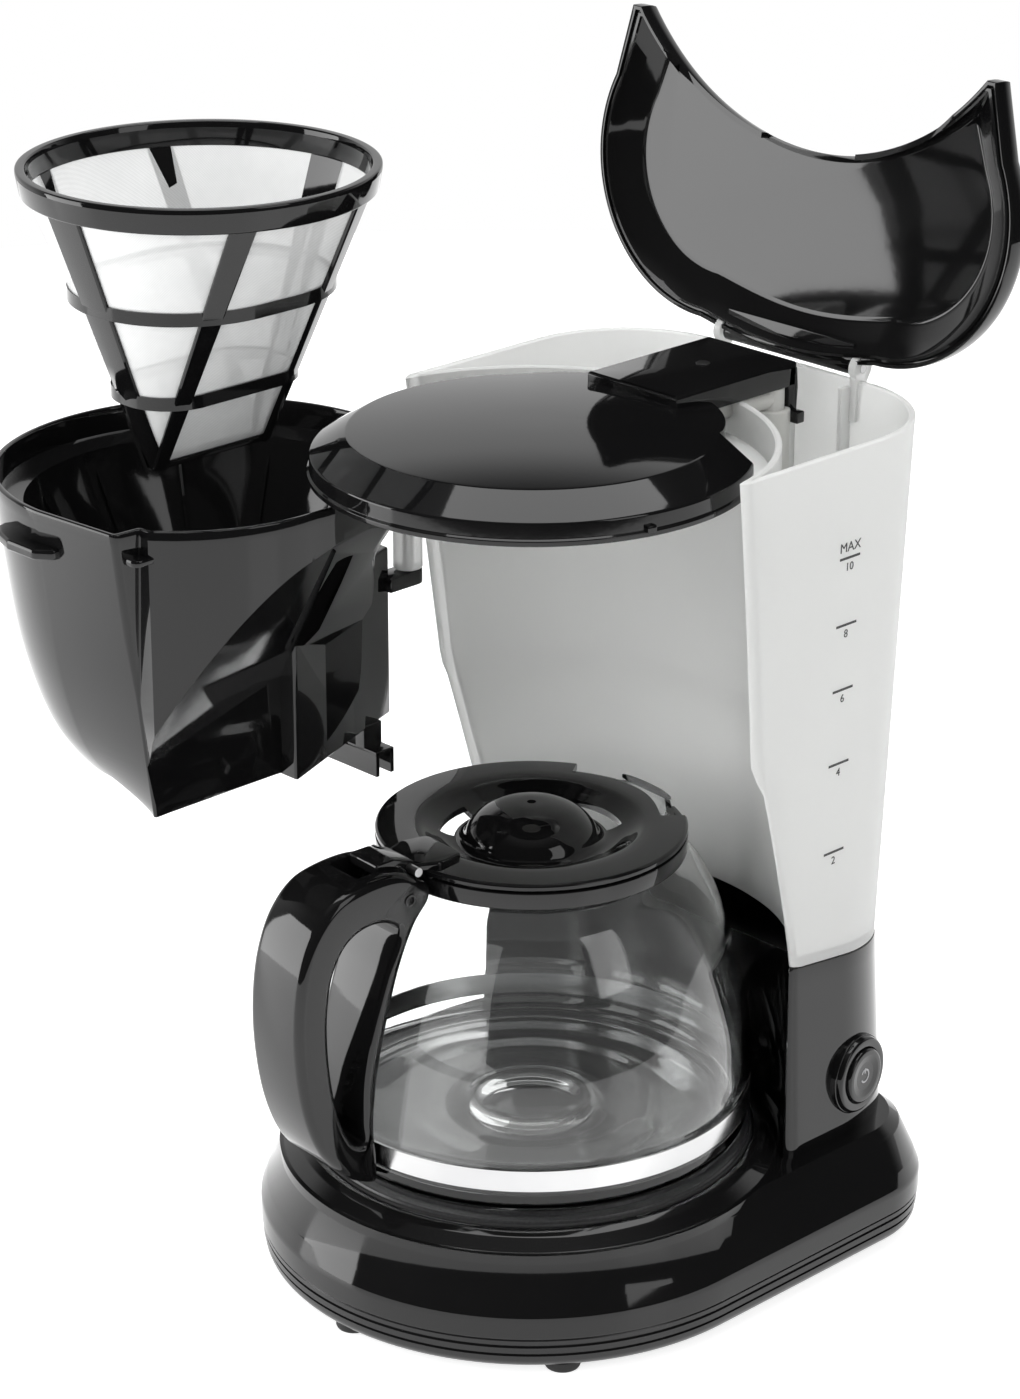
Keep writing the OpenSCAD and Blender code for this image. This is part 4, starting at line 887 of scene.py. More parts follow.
cover = Form().loft([cover_ring(r, z) for r, z in cover_side[1:] + under_side[:-1]])
nub = Form().block((-1.6, -1.2, -0.9), (1.6, 1.4, 1.4), 0.4)
NUB_TURN, NUB_R = math.radians(-14), 71.0
cover.add(nub, spin(NUB_TURN, "Z") @ shift(NUB_R, 0, COVER_Z + 2.4) @ spin(math.pi / 2, "Z"))
piece("cover_shell", cover, BLACK, "root", ["front_cover"], 22)

# --- spray arm -------------------------------------------------------------------------------

ARM_W, ARM_Z, ARM_TOP, ARM_REAR = 20.0, 288.0, 296.0, 102.0
arm_plan = eased([(-ARM_W, 44.5, 0.5), (ARM_W, 44.5, 0.5), (ARM_W, ARM_REAR, 1.2),
                  (-ARM_W, ARM_REAR, 1.2)], 5)
arm = Form().slab(arm_plan, ARM_Z, ARM_TOP, 0.4, 1.0, 4)
hook = eased([(ARM_REAR - 3.5, ARM_TOP - 1.5), (ARM_REAR, ARM_TOP - 1.5, 1.4), (ARM_REAR + 0.6, 287, 2),
              (ARM_REAR, 278, 0.8), (ARM_REAR, 276, 0.5), (ARM_REAR - 3.6, 276, 0.5),
              (ARM_REAR - 3.8, 280, 0.8), (ARM_REAR - 4.2, 288, 1)], 5)
arm.add(Form().slab(hook, ARM_W - 8, ARM_W, 0.4, 0.4, 2), SIDEWAYS)
arm.block((ARM_W - 1, ARM_REAR - 4, 276), (ARM_W + 4, ARM_REAR - 0.4, 280), 0.5)
piece("spray_arm_shell", arm, BLACK, "root", ["spray_arm"], 30)
pin_head = bent([(0, 296), (2.4, 296), (2.4, 296.2, 0.1), (1.4, 296.35, 0.1), (0, 296.35)], 3)
piece("arm_pin", Form().turn(pin_head + [(0, 296)], 48, centre=(0, 78)), SATIN, "root", ["arm_screw"])

# --- tank lid, drawn shut and turned up about its hinge -----------------------------------------

LID_OPEN = math.radians(94)
LID_LOW, LID_REAR, LID_FRONT = 288.6, 123.0, 18.0
LID_HALF, LID_TIP, LID_CORNER, LID_MID = 91.2, 79.5, 52.0, 66.0
LID_BITE, BITE_LOW = 97.0, 54.0
AT_LID = shift(0, HINGE_Y, HINGE_Z) @ spin(-LID_OPEN, "X") @ shift(0, -HINGE_Y, -HINGE_Z)


def lid_plan(out=0.0, bite=0.0, front=0.0, tip=0.0, steps=64):
    """Outline of the lid: its sides and rear moved in by out, its concave front edge by bite."""
    corner, side = LID_CORNER - out, LID_HALF - LID_CORNER
    r, middle = LID_BITE + bite, BITE_LOW - LID_BITE
    y, tip_x = LID_FRONT + front, LID_TIP - out - tip
    x = math.sqrt(r * r - (y - middle) ** 2)
    if x > tip_x - 1:
        x = tip_x - 1
        y = middle + math.sqrt(r * r - x * x)
    start = math.radians(-27)
    turn = (side + corner * math.cos(start), LID_MID + corner * math.sin(start))
    right = [(lerp(x, tip_x, k / 4), y) for k in range(5)]
    right += [(lerp(tip_x, turn[0], k / 10), lerp(y, turn[1], k / 10)) for k in range(1, 11)]
    right += arc(corner, start, math.pi / 2, 40, (side, LID_MID), 1)
    right += [(side * (1 - k / 12), lerp(LID_MID + corner, LID_REAR - out, math.sin(math.pi / 2 * k / 12)))
              for k in range(1, 12)]
    ring = right + [(0, LID_REAR - out)] + [(-u, v) for u, v in reversed(right)]
    first = math.atan2(y - middle, x)
    return ring + arc(r, math.pi - first, first, steps, (0, middle), 1)[:-1]


def lid_level(out, z, bite=None, front=None, tip=0.0):
    return at_height(lid_plan(out, out if bite is None else bite, out if front is None else front, tip), z)


EDGE = ((0.5, 0), (0.12, 0.15), (0, 0.6), (0, 4), (0.15, 5.6), (0.6, 7.4), (1.5, 8.7), (2.8, 9.8),
        (4.6, 10.4), (12, 10.65), (13.5, 10.65))
HOLLOW = ((1.4, 0), (1.6, 1.3), (2.2, 1.5), (2.5, 0.5, 1.2), (3.4, 0.4, 1.5), (4.0, 1.2, 1.7, 3.4, -0.3),
          (8.2, 4.4, 1.9, 6.5, -0.9), (12.8, 7.1, 2.2, 10, -1.4), (13.8, 7.7, 2.4, 10.6, -1.4),
          (14.8, 7.88, 2.9, 11.4, -1.3), (15.4, 7.9, 3.3, 11.8, -1.2))
top_edge = [lid_level(out, LID_LOW + rise) for out, rise in EDGE]
hollow = [lid_level(out, LID_LOW + rise, *rest) for out, rise, *rest in HOLLOW]
lid = Form().loft(list(reversed(hollow)) + top_edge)
below = LID_LOW - 2
over_disc = Form().turn([(0, below), (DISC_R + 14, below), (DISC_R + 7.2, DISC_Z + 0.8),
                         (DISC_R, DISC_Z + 1.4), (0, DISC_Z + 4.8)], 120)
over_arm = Form().block((-ARM_W - 0.7, 30, below), (ARM_W + 0.7, ARM_REAR + 1.4, ARM_TOP + 0.4), 0.4)
lid = cut_out(lid, over_disc, over_arm)
end = LUG_X - 0.5
barrel = [(0, -end), *bent([(2.6, -end), (3.0, -end, 0.3), (3.0, end, 0.3), (2.6, end)], 3), (0, end)]
lid.add(Form().turn(barrel, 40), shift(0, HINGE_Y, HINGE_Z) @ spin(math.pi / 2, "Y"))
lid.block((-end, HINGE_Y - 8, LID_LOW + 2.2), (end, HINGE_Y + 1.5, LID_LOW + 5.4), 0.5)
lid.place(AT_LID)
piece("tank_lid_shell", lid, BLACK, "lid", ["tank_lid"], 26)

# --- filter basket, drawn shut and swung out about its pivot --------------------------------------

px, py = PIVOT
AT_BASKET = shift(px, py) @ spin(-math.pi / 2, "Z") @ shift(-px, -py)
BASKET_TOP, BASKET_FLOOR, BASKET_R = 272.5, 173.0, 69.5
CORNER_TOP, CORNER_LOW, STEP_X = (66.9, 35.0), (51.0, 30.0), 57.1
BACK_R, BACK_AT, BACK_TURN, FOLD_Z, FLAT_BACK = 59.0, (10.6, 2.8), math.radians(139.4), 203.0, 31.0
FOOT_HALF, FOOT_R = 30.5, 38.0
SKIRT = flowing([(BASKET_R, BASKET_TOP), (67, 249.5), (62, 215), (54, 190), (46.5, 178.5), (42.5, 174.6),
                 (38, BASKET_FLOOR)], 6)


def basket_back(turn, front, z):
    """How far the back of the basket lies from its middle in one direction."""
    bx, by = BACK_AT
    sideways = bx * math.sin(turn) - by * math.cos(turn)
    back = bx * math.cos(turn) + by * math.sin(turn) + math.sqrt(BACK_R ** 2 - sideways ** 2)
    if turn > BACK_TURN:
        back = front * 0.759 / math.cos(turn - BACK_TURN)
    cone = min(62, 15 + 44 * (z - 181) / 71.5)
    low = max(0, min(1, (FOLD_Z - 3 - z) / 27))
    foot = lerp(FOOT_HALF, FOOT_R, turn / (math.pi / 2) - 1)
    if turn < math.pi / 2:
        foot = FOOT_HALF / math.sin(turn)
    return max(lerp(back, foot, low), cone)


def basket_ring(front, z):
    """Outline of the basket at one height: round front, straight flank, corner strip and round back."""
    t = (BASKET_TOP - z) / (BASKET_TOP - BASKET_FLOOR)
    corner = [lerp(a, b, t) for a, b in zip(CORNER_TOP, CORNER_LOW)]
    ring = arc(front, math.pi, 2 * math.pi, 96)
    first = math.radians(34.5)
    reach = basket_back(first, front, z)
    meet = (reach * math.cos(first), reach * math.sin(first))
    step = min(STEP_X, corner[0] - 0.6)
    ring += bent([(front, 0), (*corner, 2.8), (step, corner[1] + 0.7, 0.7), meet], 5)[1:-1]
    for k in range(57):
        turn = lerp(first, math.pi, k / 57)
        reach = basket_back(turn, front, z)
        ring.append((reach * math.cos(turn), reach * math.sin(turn)))
    return at_height(ring, z)


def cavity_ring(radius, z, mix=1.0):
    """Inside of the basket: it follows the rim above the ledge and the filter's cone below."""
    ring = []
    for x, y in inset_ring(top_ring, 2.4):
        share = radius / math.hypot(x, y)
        ring.append((lerp(x, share * x, mix), lerp(y, share * y, mix), z))
    return ring


top_ring = basket_ring(BASKET_R, BASKET_TOP)
LIP = ((0.1, 0.3), (0.5, 0.5), (1.4, 0.5), (1.9, 0.3), (2.1, -0.2))
CAVITY = ((60, 264.5, 0.0), (60, 263.6, 0.25), (59.5, 262.5), (56.5, 252), (40, 222), (13, 183), (7, 178),
          (6.4, 176), (6.4, BASKET_FLOOR))
rim = [basket_ring(r, z) for r, z in reversed(SKIRT)]
rim += [at_height(inset_ring(top_ring, depth), BASKET_TOP + rise) for depth, rise in LIP]
rim += [cavity_ring(*level) for level in CAVITY]
beyond = Form().block((-120, FLAT_BACK, 120), (120, 160, 268), 0.01)
fold = clipped(beyond, (13, FLAT_BACK, FOLD_Z), (0.137, -0.859, 0.493))
basket = cut_out(Form().loft(rim, wrap=True), fold)
box = eased([(-2, -8, 1), (-2, 38.5, 1.2), (-40, 24, 1.2), (-64, 15.4, 1.2), (-64, -8, 1)], 4)
funnel = Form().turn([(0, 150), (6.5, 150), (6.5, 176), (13.15, 183), (40.15, 222), (46.2, 233),
                      (0, 233)], 144)
basket.add(cut_out(Form().slab(box, 172.4, 232, 0.8, 0.8), funnel))
basket.block((-54.5, -1, 164.6), (-46.5, 27.5, 166.2), 0.3)
for x in (-54.5, -48.0):
    basket.block((x, -1, 157.2), (x + 1.5, 27.5, 166.0), 0.3)
basket.block((-54.5, 17, 164.8), (-46.5, 21.5, 174), 0.4)
tab = eased([(63, -24, 1), (70, -22, 3.5), (73.9, -10, 3.5), (73.9, 3, 3.5), (70, 8, 3), (62, 9, 1)], 5)
basket.slab(tab, 258.6, 262.2, 0.8, 0.9, 3)
cup = eased([(52, 30, 1), (63, 30, 1), (63, 40.5, 3), (54, 40.5, 3), (52, 38, 1)], 4)
basket.slab(cup, 262.6, 264.8, 0.4, 0.4, 2)
for z in (216.6, 262.4):
    lug = eased([(px - 4.6, py - 4.6, 4.5), (px + 12, py - 4.6, 0.5), (px + 12, py + 4.6, 0.5),
                 (px - 4.6, py + 4.6, 4.5)], 5)
    basket.slab(lug, z, z + 4.9, 0.4, 0.4, 2)
for r, z in ((9.0, 165.4), (8.2, 168.4), (9.0, 171.2)):
    basket.turn(eased([(5.6, z, 0.5), (r, z, 1.1), (r, z + 2.4, 1.1), (5.6, z + 2.4, 0.5)], 4), 64)
basket.place(AT_BASKET)
piece("basket_shell", basket, BLACK, "basket", ["filter_basket"], 30)


def inner_ribs():
    """Fine upright ribs round the inside of the basket."""
    g = Nodes("inner_ribs", Count=12, Radius=0.0492, Length=0.046, Width=0.0009, Depth=0.0022, Lean=0.503,
              Finish=BLACK)
    circle = g.node("GeometryNodeMeshCircle", values={"Vertices": g.size("Count"),
                                                      "Radius": g.size("Radius")})
    sizes = g.node("ShaderNodeCombineXYZ", values=[g.size("Depth"), g.size("Width"), g.size("Length")])
    bar = g.node("GeometryNodeMeshCube", values={"Size": sizes})
    step = g.maths("DIVIDE", 2 * math.pi, g.size("Count"))
    round_turn = g.maths("MULTIPLY", g.node("GeometryNodeInputIndex"), step)
    turned = g.node("ShaderNodeCombineXYZ", values=[0.0, g.size("Lean"), round_turn])
    row = g.node("GeometryNodeInstanceOnPoints",
                 values={"Points": circle, "Instance": bar, "Rotation": turned})
    return g.end(row)


ribs = inner_ribs().mesh("ribs")
ribs.transform(in_metres(AT_BASKET @ shift(0, 0, 238.5)))
joined_meshes("basket_inner_ribs", [ribs], BLACK, "basket")

# --- permanent filter --------------------------------------------------------------------------

AT_FILTER = shift(-88, -60, 276)
THROAT, RING_LOW, RING_TOP, FILTER_R, KEEL_HALF, KEEL_W = 54.0, 87.5, 95.5, 57.5, 22.0, 2.2


def wedge_ring(t, grow=0.0, count=96):
    """Outline of the filter between its keel (0) and its ring (1)."""
    turns = [2 * math.pi * (k + 0.5) / count for k in range(count)]
    return [tuple(wedge_point(turn, t, grow).xy) for turn in turns]


def wedge_point(turn, t, grow=0.0):
    c, s = math.cos(turn), math.sin(turn)
    x = KEEL_W * (1 - t) * (0 if abs(c) < 1e-6 else math.copysign(1, c))
    y = KEEL_HALF * (1 - t) * (0 if abs(s) < 1e-6 else math.copysign(1, s))
    reach = THROAT * t + grow
    return Vector((x + reach * c, y + reach * s, RING_LOW * t))


ring_side = eased([(THROAT, RING_LOW - 0.3, 0.5), (FILTER_R - 1.2, RING_LOW - 0.3, 0.8),
                   (FILTER_R, RING_TOP - 1.6, 0.4), (FILTER_R, RING_TOP, 0.7),
                   (THROAT + 0.4, RING_TOP, 0.7), (THROAT, RING_TOP - 2, 0.4)], 4)
frame_form = Form().turn(ring_side, 160)
RIB_TURNS = [(-90, 9.0, 15.0), (90, 9.0, 15.0), (-26, 4.4, 8.6), (26, 4.4, 8.6), (154, 4.4, 8.6),
             (206, 4.4, 8.6)]
for degrees, foot, head in RIB_TURNS:
    turn = math.radians(degrees)
    along = Vector((-math.sin(turn), math.cos(turn), 0))
    outwards = Vector((math.cos(turn), math.sin(turn), 0))
    rings = []
    for k in range(13):
        t = k / 12
        mid = wedge_point(turn, t)
        w = lerp(foot, head, t) / 2
        bow = 0.5 * w * w / max(THROAT * t + 3, 6) if abs(abs(degrees) - 90) < 1 else 0
        half = [(w - 0.5, 1.4 - bow), (w, 0.9 - bow), (w, -0.3 - bow)]
        section = [(-u, v) for u, v in reversed(half)] + [(0, 1.5)] + half + [(0, -0.3)]
        rings.append([tuple(mid + along * u + outwards * v) for u, v in section])
    frame_form.loft(rings)
kx, ky = KEEL_W + 1.2, KEEL_HALF + 1.2
keel_ring = eased([(-kx, -ky, 1.5), (kx, -ky, 1.5), (kx, ky, 1.5), (-kx, ky, 1.5)], 4)
frame_form.slab(keel_ring, 0, 2.4, 0.6, 0.6, 2)
frame_form.place(AT_FILTER)


def hoop_tree():
    """A flat band that goes round the wedge at one height."""
    g = Nodes("filter_hoops", Share=0.65, Throat=THROAT * MM, Keel=KEEL_HALF * MM, Width=KEEL_W * MM,
              Band=0.0042, Thickness=0.0015, Finish=BLACK)
    circle = g.node("GeometryNodeCurvePrimitiveCircle", {"mode": "RADIUS"},
                    {"Resolution": 144, "Radius": 1.0})
    where = g.node("GeometryNodeInputPosition")
    left = g.maths("SUBTRACT", 1.0, g.size("Share"))
    proud = g.maths("MULTIPLY", g.size("Thickness"), 0.4)
    radius = g.maths("ADD", g.maths("MULTIPLY", g.size("Throat"), g.size("Share")), proud)

    def side(axis, size):
        socket = g.node("ShaderNodeSeparateXYZ", values=[where], out=axis)
        straight = g.maths("MULTIPLY", g.maths("SIGN", socket), g.maths("MULTIPLY", g.size(size), left))
        return g.maths("ADD", g.maths("MULTIPLY", socket, radius), straight)

    spot = g.node("ShaderNodeCombineXYZ", values=[side(0, "Width"), side(1, "Keel"), 0.0])
    path = g.node("GeometryNodeSetPosition", values={"Geometry": circle, "Position": spot})
    strip = g.node("GeometryNodeCurvePrimitiveQuadrilateral", {"mode": "RECTANGLE"},
                   {"Width": g.size("Thickness"), "Height": g.size("Band")})
    band = g.node("GeometryNodeCurveToMesh", values={"Curve": path, "Profile Curve": strip})
    return g.end(band)


hoops = hoop_tree()
hoop_meshes = []
for share in (0.646, 0.288):
    mesh = hoops.mesh("hoop", Share=share)
    mesh.transform(in_metres(AT_FILTER @ shift(0, 0, RING_LOW * share)))
    hoop_meshes.append(mesh)
frame_mesh = frame_form.mesh("filter_cage")
joined_meshes("filter_cage", [frame_mesh] + hoop_meshes, BLACK, "filter", ["filter_frame"],
              34)
levels = [k / 14 for k in range(15)]
cloth = Form().loft([at_height(wedge_ring(t, 0.15), 1.6 + (RING_LOW - 1.6) * t) for t in levels]
                    + [at_height(wedge_ring(t, -0.15), 1.9 + (RING_LOW - 1.9) * t)
                       for t in reversed(levels)])
cloth.place(AT_FILTER)
piece("filter_cloth", cloth, MESH, "filter", ["filter_mesh"], 40)

# --- carafe --------------------------------------------------------------------------------------

CARAFE_TURN = math.radians(-5)
AT_CARAFE = shift(0, 0, 50) @ spin(CARAFE_TURN, "Z")
NECK_R, LIP_Z = 49.0, 103.5
outside = [(70, 0), (72.4, 2.6), (73, 8.5), (73, 17), (73.9, 20.5), (74, 26), (72.4, 41), (68, 60),
           (62.6, 78), (56.5, 90), (50.6, 96.2), (49, 98.5), (49, LIP_Z - 0.6)]
side_line = flowing(outside, 5)
bottom_out = [(0, 1.4), (18, 1.3), (20, 0.9), (22, 1.3), (50, 1.1), (62, 0.6), (66, 0)]
inside = [(49 - 2.4, LIP_Z - 0.6), (46.6, 98), (48.6, 94.6), (54.2, 88.8), (60.2, 77.2), (65.6, 59.4),
          (70, 40.6), (71.4, 26), (71.2, 20), (70.4, 16), (70.2, 9), (68.4, 5.6), (63, 4.2)]
inner_line = flowing(inside, 5)
bottom_in = flowing([(63, 4.2), (55, 4.6), (46, 4.2), (38, 4.9), (30, 4.4), (23, 4.9), (19.5, 6.2),
                     (16.5, 5.4), (12, 4.0), (0, 3.8)], 4)[1:]
glass_profile = bottom_out[1:] + side_line + [(NECK_R - 0.5, LIP_Z),
                                              (NECK_R - 1.9, LIP_Z)] + inner_line + bottom_in[:-1]
STEPS = 192
glass_rings = []
for r, z in glass_profile:
    ring = []
    for k in range(STEPS):
        a = 2 * math.pi * k / STEPS
        off = math.degrees(abs((a - math.pi / 2 + math.pi) % (2 * math.pi) - math.pi))
        lift = max(0.0, (z - 95) / 8.5) ** 1.6 if r > 40 else 0
        reach = r + 6.5 * math.exp(-((off / 15) ** 2)) * lift
        ring.append((reach * math.cos(a), reach * math.sin(a), z))
    glass_rings.append(ring)
glass = Form().loft(glass_rings)
piece("glass_bowl", glass.place(AT_CARAFE), GLASS, "carafe", ["carafe_glass"], 50)

strap = [(73.05, 9), (73.7, 9.1), (73.75, 9.5), (73.75, 16), (73.7, 16.4), (73.05, 16.5)]
piece("steel_band", Form().turn(strap, 192).place(AT_CARAFE), BAND, "carafe", ["carafe_band"])
collar = eased([(49.05, 97.6, 0.2), (51.2, 97.6, 0.6), (51.4, 103.4, 0.5), (49.05, 103.4, 0.2)], 3)
neck = Form().turn(collar, 160, 90 + 17, 360 - 34)
piece("neck_collar", neck.place(AT_CARAFE), BLACK, "carafe", ["carafe_collar"])

# handle: a flat loop in the plane of the carafe's axis, (distance from the axis, height)
HANDLE_W = 13.5
grip_out = flowing([(51.9, 98), (51.9, 102.8), (55, 104.6), (60, 108.4), (66, 110.2), (78, 110),
                    (89, 107), (97.5, 98.5), (102.8, 86), (105.2, 70), (104.8, 52), (101.4, 33),
                    (95.6, 19), (87.5, 9.6), (79.5, 4.6), (75, 3.3), (74.1, 4.5), (74.1, 15.5),
                    (74.8, 19.5), (74.9, 26), (73.3, 41), (69, 60), (63.6, 78), (57.4, 91)], 6,
                   closed=True)
grip_in = flowing([(64.4, 90.5), (70, 94.4), (78, 94.8), (85, 91.6), (90.2, 84), (92.9, 72), (93.2, 57),
                   (91.4, 41), (88, 28), (83.6, 20.4), (79.6, 19.2), (79.8, 26), (79.2, 41), (75, 60),
                   (69.6, 77)], 6, closed=True)
loop_out, loop_in = spaced(grip_out, 168), spaced(grip_in, 168)


def nearest_start(ring, other):
    """ring started where it faces the start of the other."""
    first = min(range(len(ring)), key=lambda i: (Vector(ring[i]) - Vector(other[0])).length)
    return ring[first:] + ring[:first]


loop_in = nearest_start(loop_in, loop_out)
ROUND, ROUND_IN = 3.2, 2.0
handle_rings = [(loop_out, ROUND * i, ROUND * u - HANDLE_W) for i, u in quarter(6)]
handle_rings += [(loop_out, ROUND * u, HANDLE_W - ROUND * i) for i, u in quarter(6)]
handle_rings += [(loop_in, -ROUND_IN * i, HANDLE_W - ROUND_IN * u) for i, u in quarter(6)]
handle_rings += [(loop_in, -ROUND_IN * u, ROUND_IN * i - HANDLE_W) for i, u in quarter(6)]
grip = [[(x, -d, h) for d, h in inset_ring(ring, depth)] for ring, depth, x in handle_rings]
pocket = Form().block((-7.6, -77, 100), (7.6, -50, 124), 0.8)
grip_form = cut_out(Form().loft(grip, wrap=True), pocket)
boss = Form().turn(bent([(0, 0), (2.2, 0), (2.2, 0.5, 0.3), (1.2, 0.5, 0.2), (1.2, 0.1), (0, 0.1)], 2), 32)
for side in (-1, 1):
    grip_form.add(boss, shift(side * (HANDLE_W - 0.1), -60.5, 100) @ spin(side * math.pi / 2, "Y"))
piece("handle_loop", grip_form.place(AT_CARAFE), BLACK, "carafe", ["carafe_handle"], 32)

# carafe lid: domed middle in a dished ring, notched at the spout, with a plate and a thumb lever
LID_Z = LIP_Z + 0.4
HINGE_D, HINGE_H = -56.0, LIP_Z + 4.4
lid_top = flowing([(0, 9.4), (6, 9.1), (12, 7.7), (17, 5.0), (20.6, 1.2), (22.4, -2.2), (24.5, -3.4),
                   (28, -2.8), (33, 0.0), (36.8, 2.3), (39, 2.75)], 5)
lid_top += bent([(42, 2.8), (50.6, 2.6, 0.6), (51.3, 1.8, 0.6), (51.3, 0.6, 0.3), (50.8, 0.1, 0.3),
                 (45, 0.1)], 4)
lid_under = [(39, 0.3), (34, -2.0), (28, -4.9), (24, -5.4), (20.6, -4.0), (17.5, 0.6), (12, 5.2),
             (6, 7.0), (0, 7.4)]
cap = Form().turn([(r, LID_Z + z) for r, z in lid_top + lid_under], 192)
tools = []
for middle, span in ((90, 26), (-28, 20), (208, 20)):
    start, end = math.radians(middle - span), math.radians(middle + span)
    slot = arc(30.6, start, end, 18) + arc(25.4, end, start, 18)
    tools.append(Form().slab(slot, LID_Z - 10, LID_Z + 6, 0, 0, 1))


def notch_point(degrees, reach=None):
    """A point on the edge of the pouring notch, which is a little shallower in its middle."""
    r = reach or lerp(42.5, 44.5, math.cos((degrees - 90) / 34 * math.pi / 2) ** 2)
    return (r * math.cos(math.radians(degrees)), r * math.sin(math.radians(degrees)))


spout = [notch_point(124, 60), *(notch_point(d) for d in range(122, 55, -3)), notch_point(56, 60)]
tools.append(Form().slab(spout, LID_Z - 6, LID_Z + 12, 0, 0, 1))
tools.append(Form().turn([(0, LID_Z + 2), (1.5, LID_Z + 2), (1.5, LID_Z + 14), (0, LID_Z + 14)], 24))
cap = cut_out(cap, *tools)
plate = eased([(-9, -36, 3), (-11, -46, 4), (-7, -55, 1), (7, -55, 1), (11, -46, 4), (9, -36, 3)], 5)
cap.slab(plate, LID_Z + 2.0, LID_Z + 4.6, 0.5, 0.9, 3)
LEVER = ((2, -2.2, 1.5), (2, 2.0, 1.5), (-6, 4.6, 3), (-13, 4.4, 1.2), (-13.5, 0.6, 0.8), (-11, 0.4, 0.8),
         (-6, 1.2, 2), (-2, -2.2, 1.2))
side_plan = eased([(HINGE_D + along, HINGE_H + up, ease) for along, up, ease in LEVER], 5)
cap.add(Form().slab(side_plan, -7, 7, 0.6, 0.6, 3), SIDEWAYS)
piece("carafe_cap", cap.place(AT_CARAFE), BLACK, "carafe_cover", ["carafe_lid"], 30)

# --- switch --------------------------------------------------------------------------------------

def on_face(*points):
    """Points of a turned profile, with their heights counted from the face of the seat."""
    return [(r, SWITCH_FACE + z, *ease) for r, z, *ease in points]


bezel = eased(on_face((9.9, -4), (9.9, 1.8, 0.5), (13.0, 1.8, 1.2), (13.5, 0, 0.1), (11, 0)), 5)
bezel_form = Form().turn(bezel, 96).place(AT_SWITCH)
piece("switch_ring", bezel_form, BLACK, "root", ["switch_bezel"])
push = on_face((0, -6), (9.6, -6)) + bent(on_face((9.6, -5), (9.6, 3, 1.2), (7.4, 3, 0.8), (5, 2.6, 1),
                                                  (0, 2.4)))
push_form = Form().turn(push, 96).place(AT_SWITCH)
piece("switch_push", push_form, BLACK, "button", ["switch_button"])
symbol = Form().turn(on_face((1.9, 2.3), (2.5, 2.3), (2.5, 2.62), (1.9, 2.62)), 40, -60, 300)
symbol.block((-2.8, -0.3, SWITCH_FACE + 2.3), (-0.9, 0.3, SWITCH_FACE + 2.64), 0.05)
piece("switch_symbol", symbol.place(AT_SWITCH), MARK, "button")


# --- feet, screws and the other carried nodes ------------------------------------------------------

def turned_row(name, profile, places, finish, nodes):
    form = Form()
    stud = Form().turn(profile, 56)
    for x, y in places:
        form.add(stud, shift(x, y))
    return piece(name, form, finish, "root", nodes)


FEET = [(0, -81), (65, -49), (-65, -49), (64, 92), (-64, 92)]
foot = [(0, 0)] + bent([(4.8, 0), (5.6, 0, 0.6), (6, 1, 0.4), (6, 3.5, 0.2), (5, 3.5)], 3) + [(0, 3.5)]
turned_row("rubber_feet", foot, FEET, RUBBER, ["feet"])
gland = eased([(3.4, -3, 0.8), (6.4, -3, 1.4), (7.5, -1.4, 0.8), (7.5, 0, 0.2), (5, 0, 0.1), (5, 8, 0.1),
               (3.4, 8, 0.1)], 4)
piece("cord_bush", Form().turn(gland, 64).place(AT_GLAND), RUBBER, "root", ["cord_gland"])

CARRIED = {STEEL: ["base_screws", "heating_element", "thermostat", "thermostat_strap", "hose_clips",
                   "cover_screws", "lid_pins", "basket_pin", "valve_spring", "handle_screw",
                   "carafe_lid_pin"], BRASS: ["strap_screws", "terminal_screws"],
           SILICONE: ["inlet_hose", "outlet_hose", "spray_duct"],
           WHITE: ["check_valve", "valve_plunger", "spray_head"],
           CERAMIC: ["thermal_fuse", "terminal_block"], RED: ["valve_seal"], SATIN: ["switch_body"],}
for finish, names in CARRIED.items():
    for name in names:
        node = frame["nodes"][name]
        for place in node.material_slots:
            place.link = "OBJECT"
            place.material = finish

# --- floor, light and camera -------------------------------------------------------------------------

def floor_finish():
    f = Finish("studio_floor")
    sees = f.node("ShaderNodeLightPath", out=0)
    glossy = f.node("ShaderNodeLightPath", out=3)
    through = f.node("ShaderNodeLightPath", out=6)
    white = f.node("ShaderNodeEmission", values={"Color": (1, 1, 1, 1), "Strength": 0.74})
    sheet = f.ramp(f.noise(6, 2), (0, (0.80, 0.80, 0.80)), (1, (0.82, 0.82, 0.82)))
    paper = f.node("ShaderNodeBsdfPrincipled", values={"Base Color": sheet, "Roughness": 0.28})
    both = f.node("ShaderNodeAddShader", values=[white, paper])
    plain = f.node("ShaderNodeBsdfDiffuse", values={"Color": (0.8, 0.8, 0.8, 1)})
    mask = f.larger(sees, f.larger(glossy, through))
    shader = f.node("ShaderNodeMixShader", values=[mask, plain, both])
    f.node("ShaderNodeOutputMaterial", values=[shader])
    return f.material


FLOOR_R = 1.3
floor_mesh = bpy.data.meshes.new("studio_floor")
edge = at_height(arc(FLOOR_R, 0, 2 * math.pi, 96)[:-1], 0)
floor_mesh.from_pydata(edge, [], [tuple(range(96))])
floor_mesh.materials.append(floor_finish())
floor = bpy.data.objects.new("studio_floor", floor_mesh)
bpy.context.collection.objects.link(floor)

BEHIND, AMBIENT = (-0.72, 0.69), 0.62


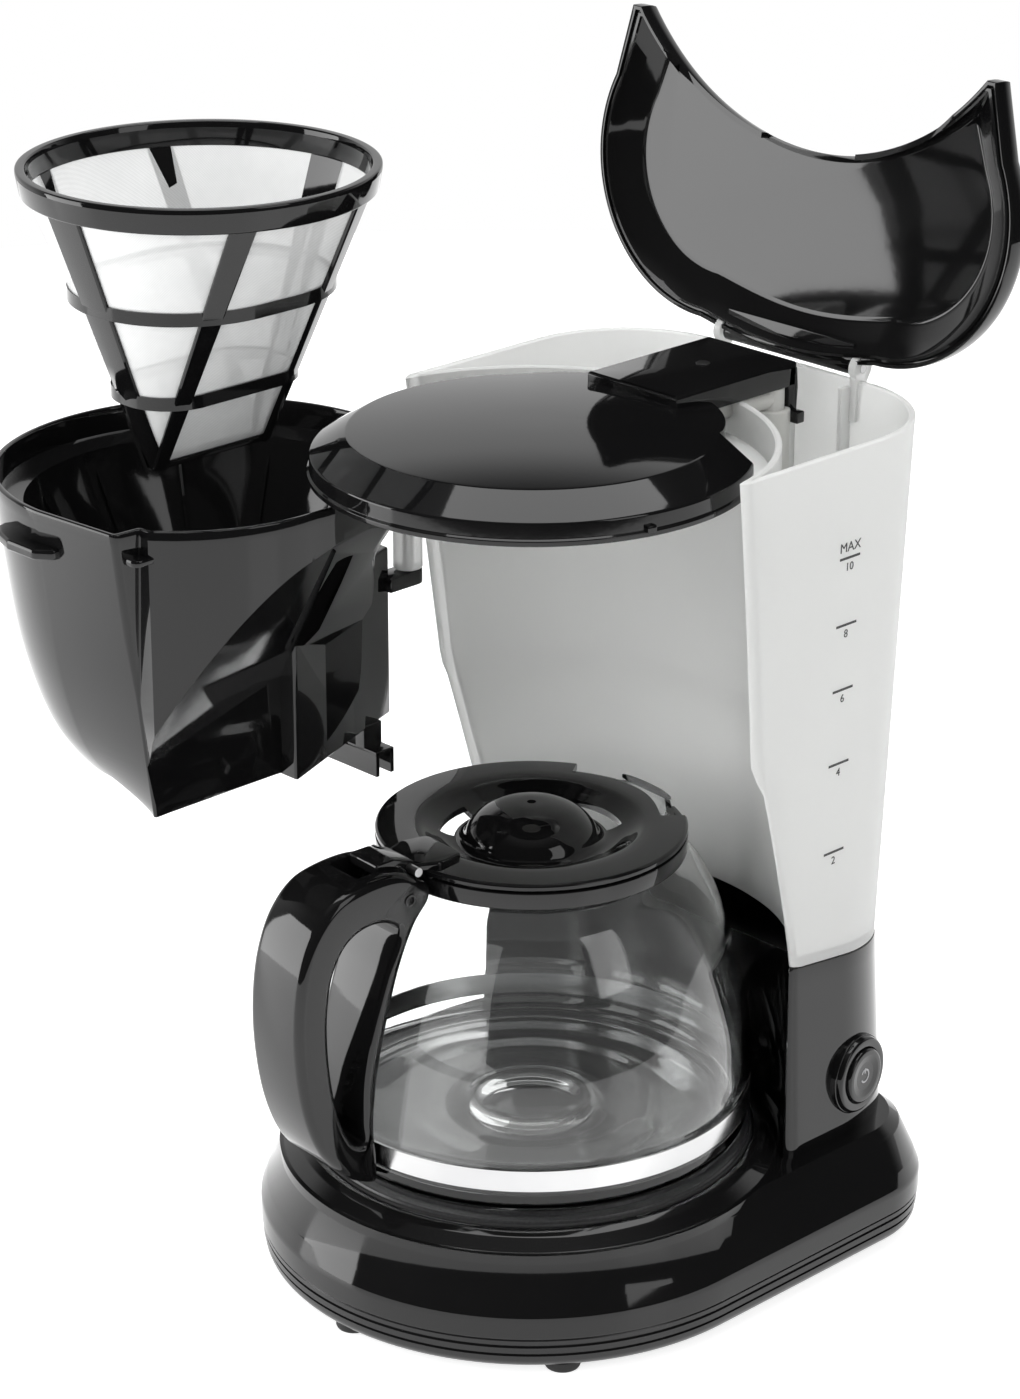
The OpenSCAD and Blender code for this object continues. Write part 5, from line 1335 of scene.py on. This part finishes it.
def studio_world():
    """White where it is looked at, pale behind the object and dim on the other sides."""
    f = Finish("studio", "worlds")
    way = f.node("ShaderNodeTexCoord")
    x, y, z = (f.node("ShaderNodeSeparateXYZ", values=[way], out=i) for i in range(3))
    behind = f.spread(x * BEHIND[0] + y * BEHIND[1], 0.1, 0.55)
    low = f.spread(z, 0.42, 0.6, 1.0, 0.0)
    above = f.spread(z, 0.7, 0.98)
    mirrored = behind * low * 0.8 + above * 0.22 + 0.035
    glossy = f.node("ShaderNodeLightPath", out=3)
    seen = f.larger(f.node("ShaderNodeLightPath", out=0), f.node("ShaderNodeLightPath", out=6))
    strength = seen + (1 - seen) * (glossy * mirrored + (1 - glossy) * AMBIENT)
    f.node("ShaderNodeOutputWorld", values=[f.node("ShaderNodeBackground", values=[(1, 1, 1, 1), strength])])
    return f.material


bpy.context.scene.world = studio_world()


def softbox(name, where, aim, size, power, tall=None, mirrored=True):
    lamp = bpy.data.lights.new(name, "AREA")
    lamp.shape, lamp.size, lamp.size_y, lamp.energy = "RECTANGLE", size, tall or size, power
    obj = bpy.data.objects.new(name, lamp)
    obj.location = where
    obj.rotation_euler = (Vector(aim) - Vector(where)).to_track_quat("-Z", "Y").to_euler()
    obj.visible_glossy = mirrored
    bpy.context.collection.objects.link(obj)
    return obj


softbox("left_softbox", (-1.4, -1.5, 0.38), (0, 0.1, 0.3), 1.1, 22.0, 1.25)
softbox("right_softbox", (1.5, 0.1, 0.8), (0, 0, 0.15), 0.6, 4.0, 1.1)
softbox("front_fill", (0.1, -1.8, 0.7), (0, 0, 0.2), 1.4, 14.0, mirrored=False)
softbox("top_softbox", (-0.1, 0.2, 1.7), (0, 0, 0.1), 1.2, 14.0)

camera_data = bpy.data.cameras.new("camera")
camera_data.sensor_fit, camera_data.sensor_height, camera_data.lens = "VERTICAL", 36.0, 104.0
camera = bpy.data.objects.new("camera", camera_data)
camera.location = (0.868, -0.848, 0.687)
camera.rotation_euler = (math.radians(68.1), 0, math.radians(46))
bpy.context.collection.objects.link(camera)
bpy.context.scene.camera = camera
bpy.context.scene.view_settings.view_transform = "Standard"
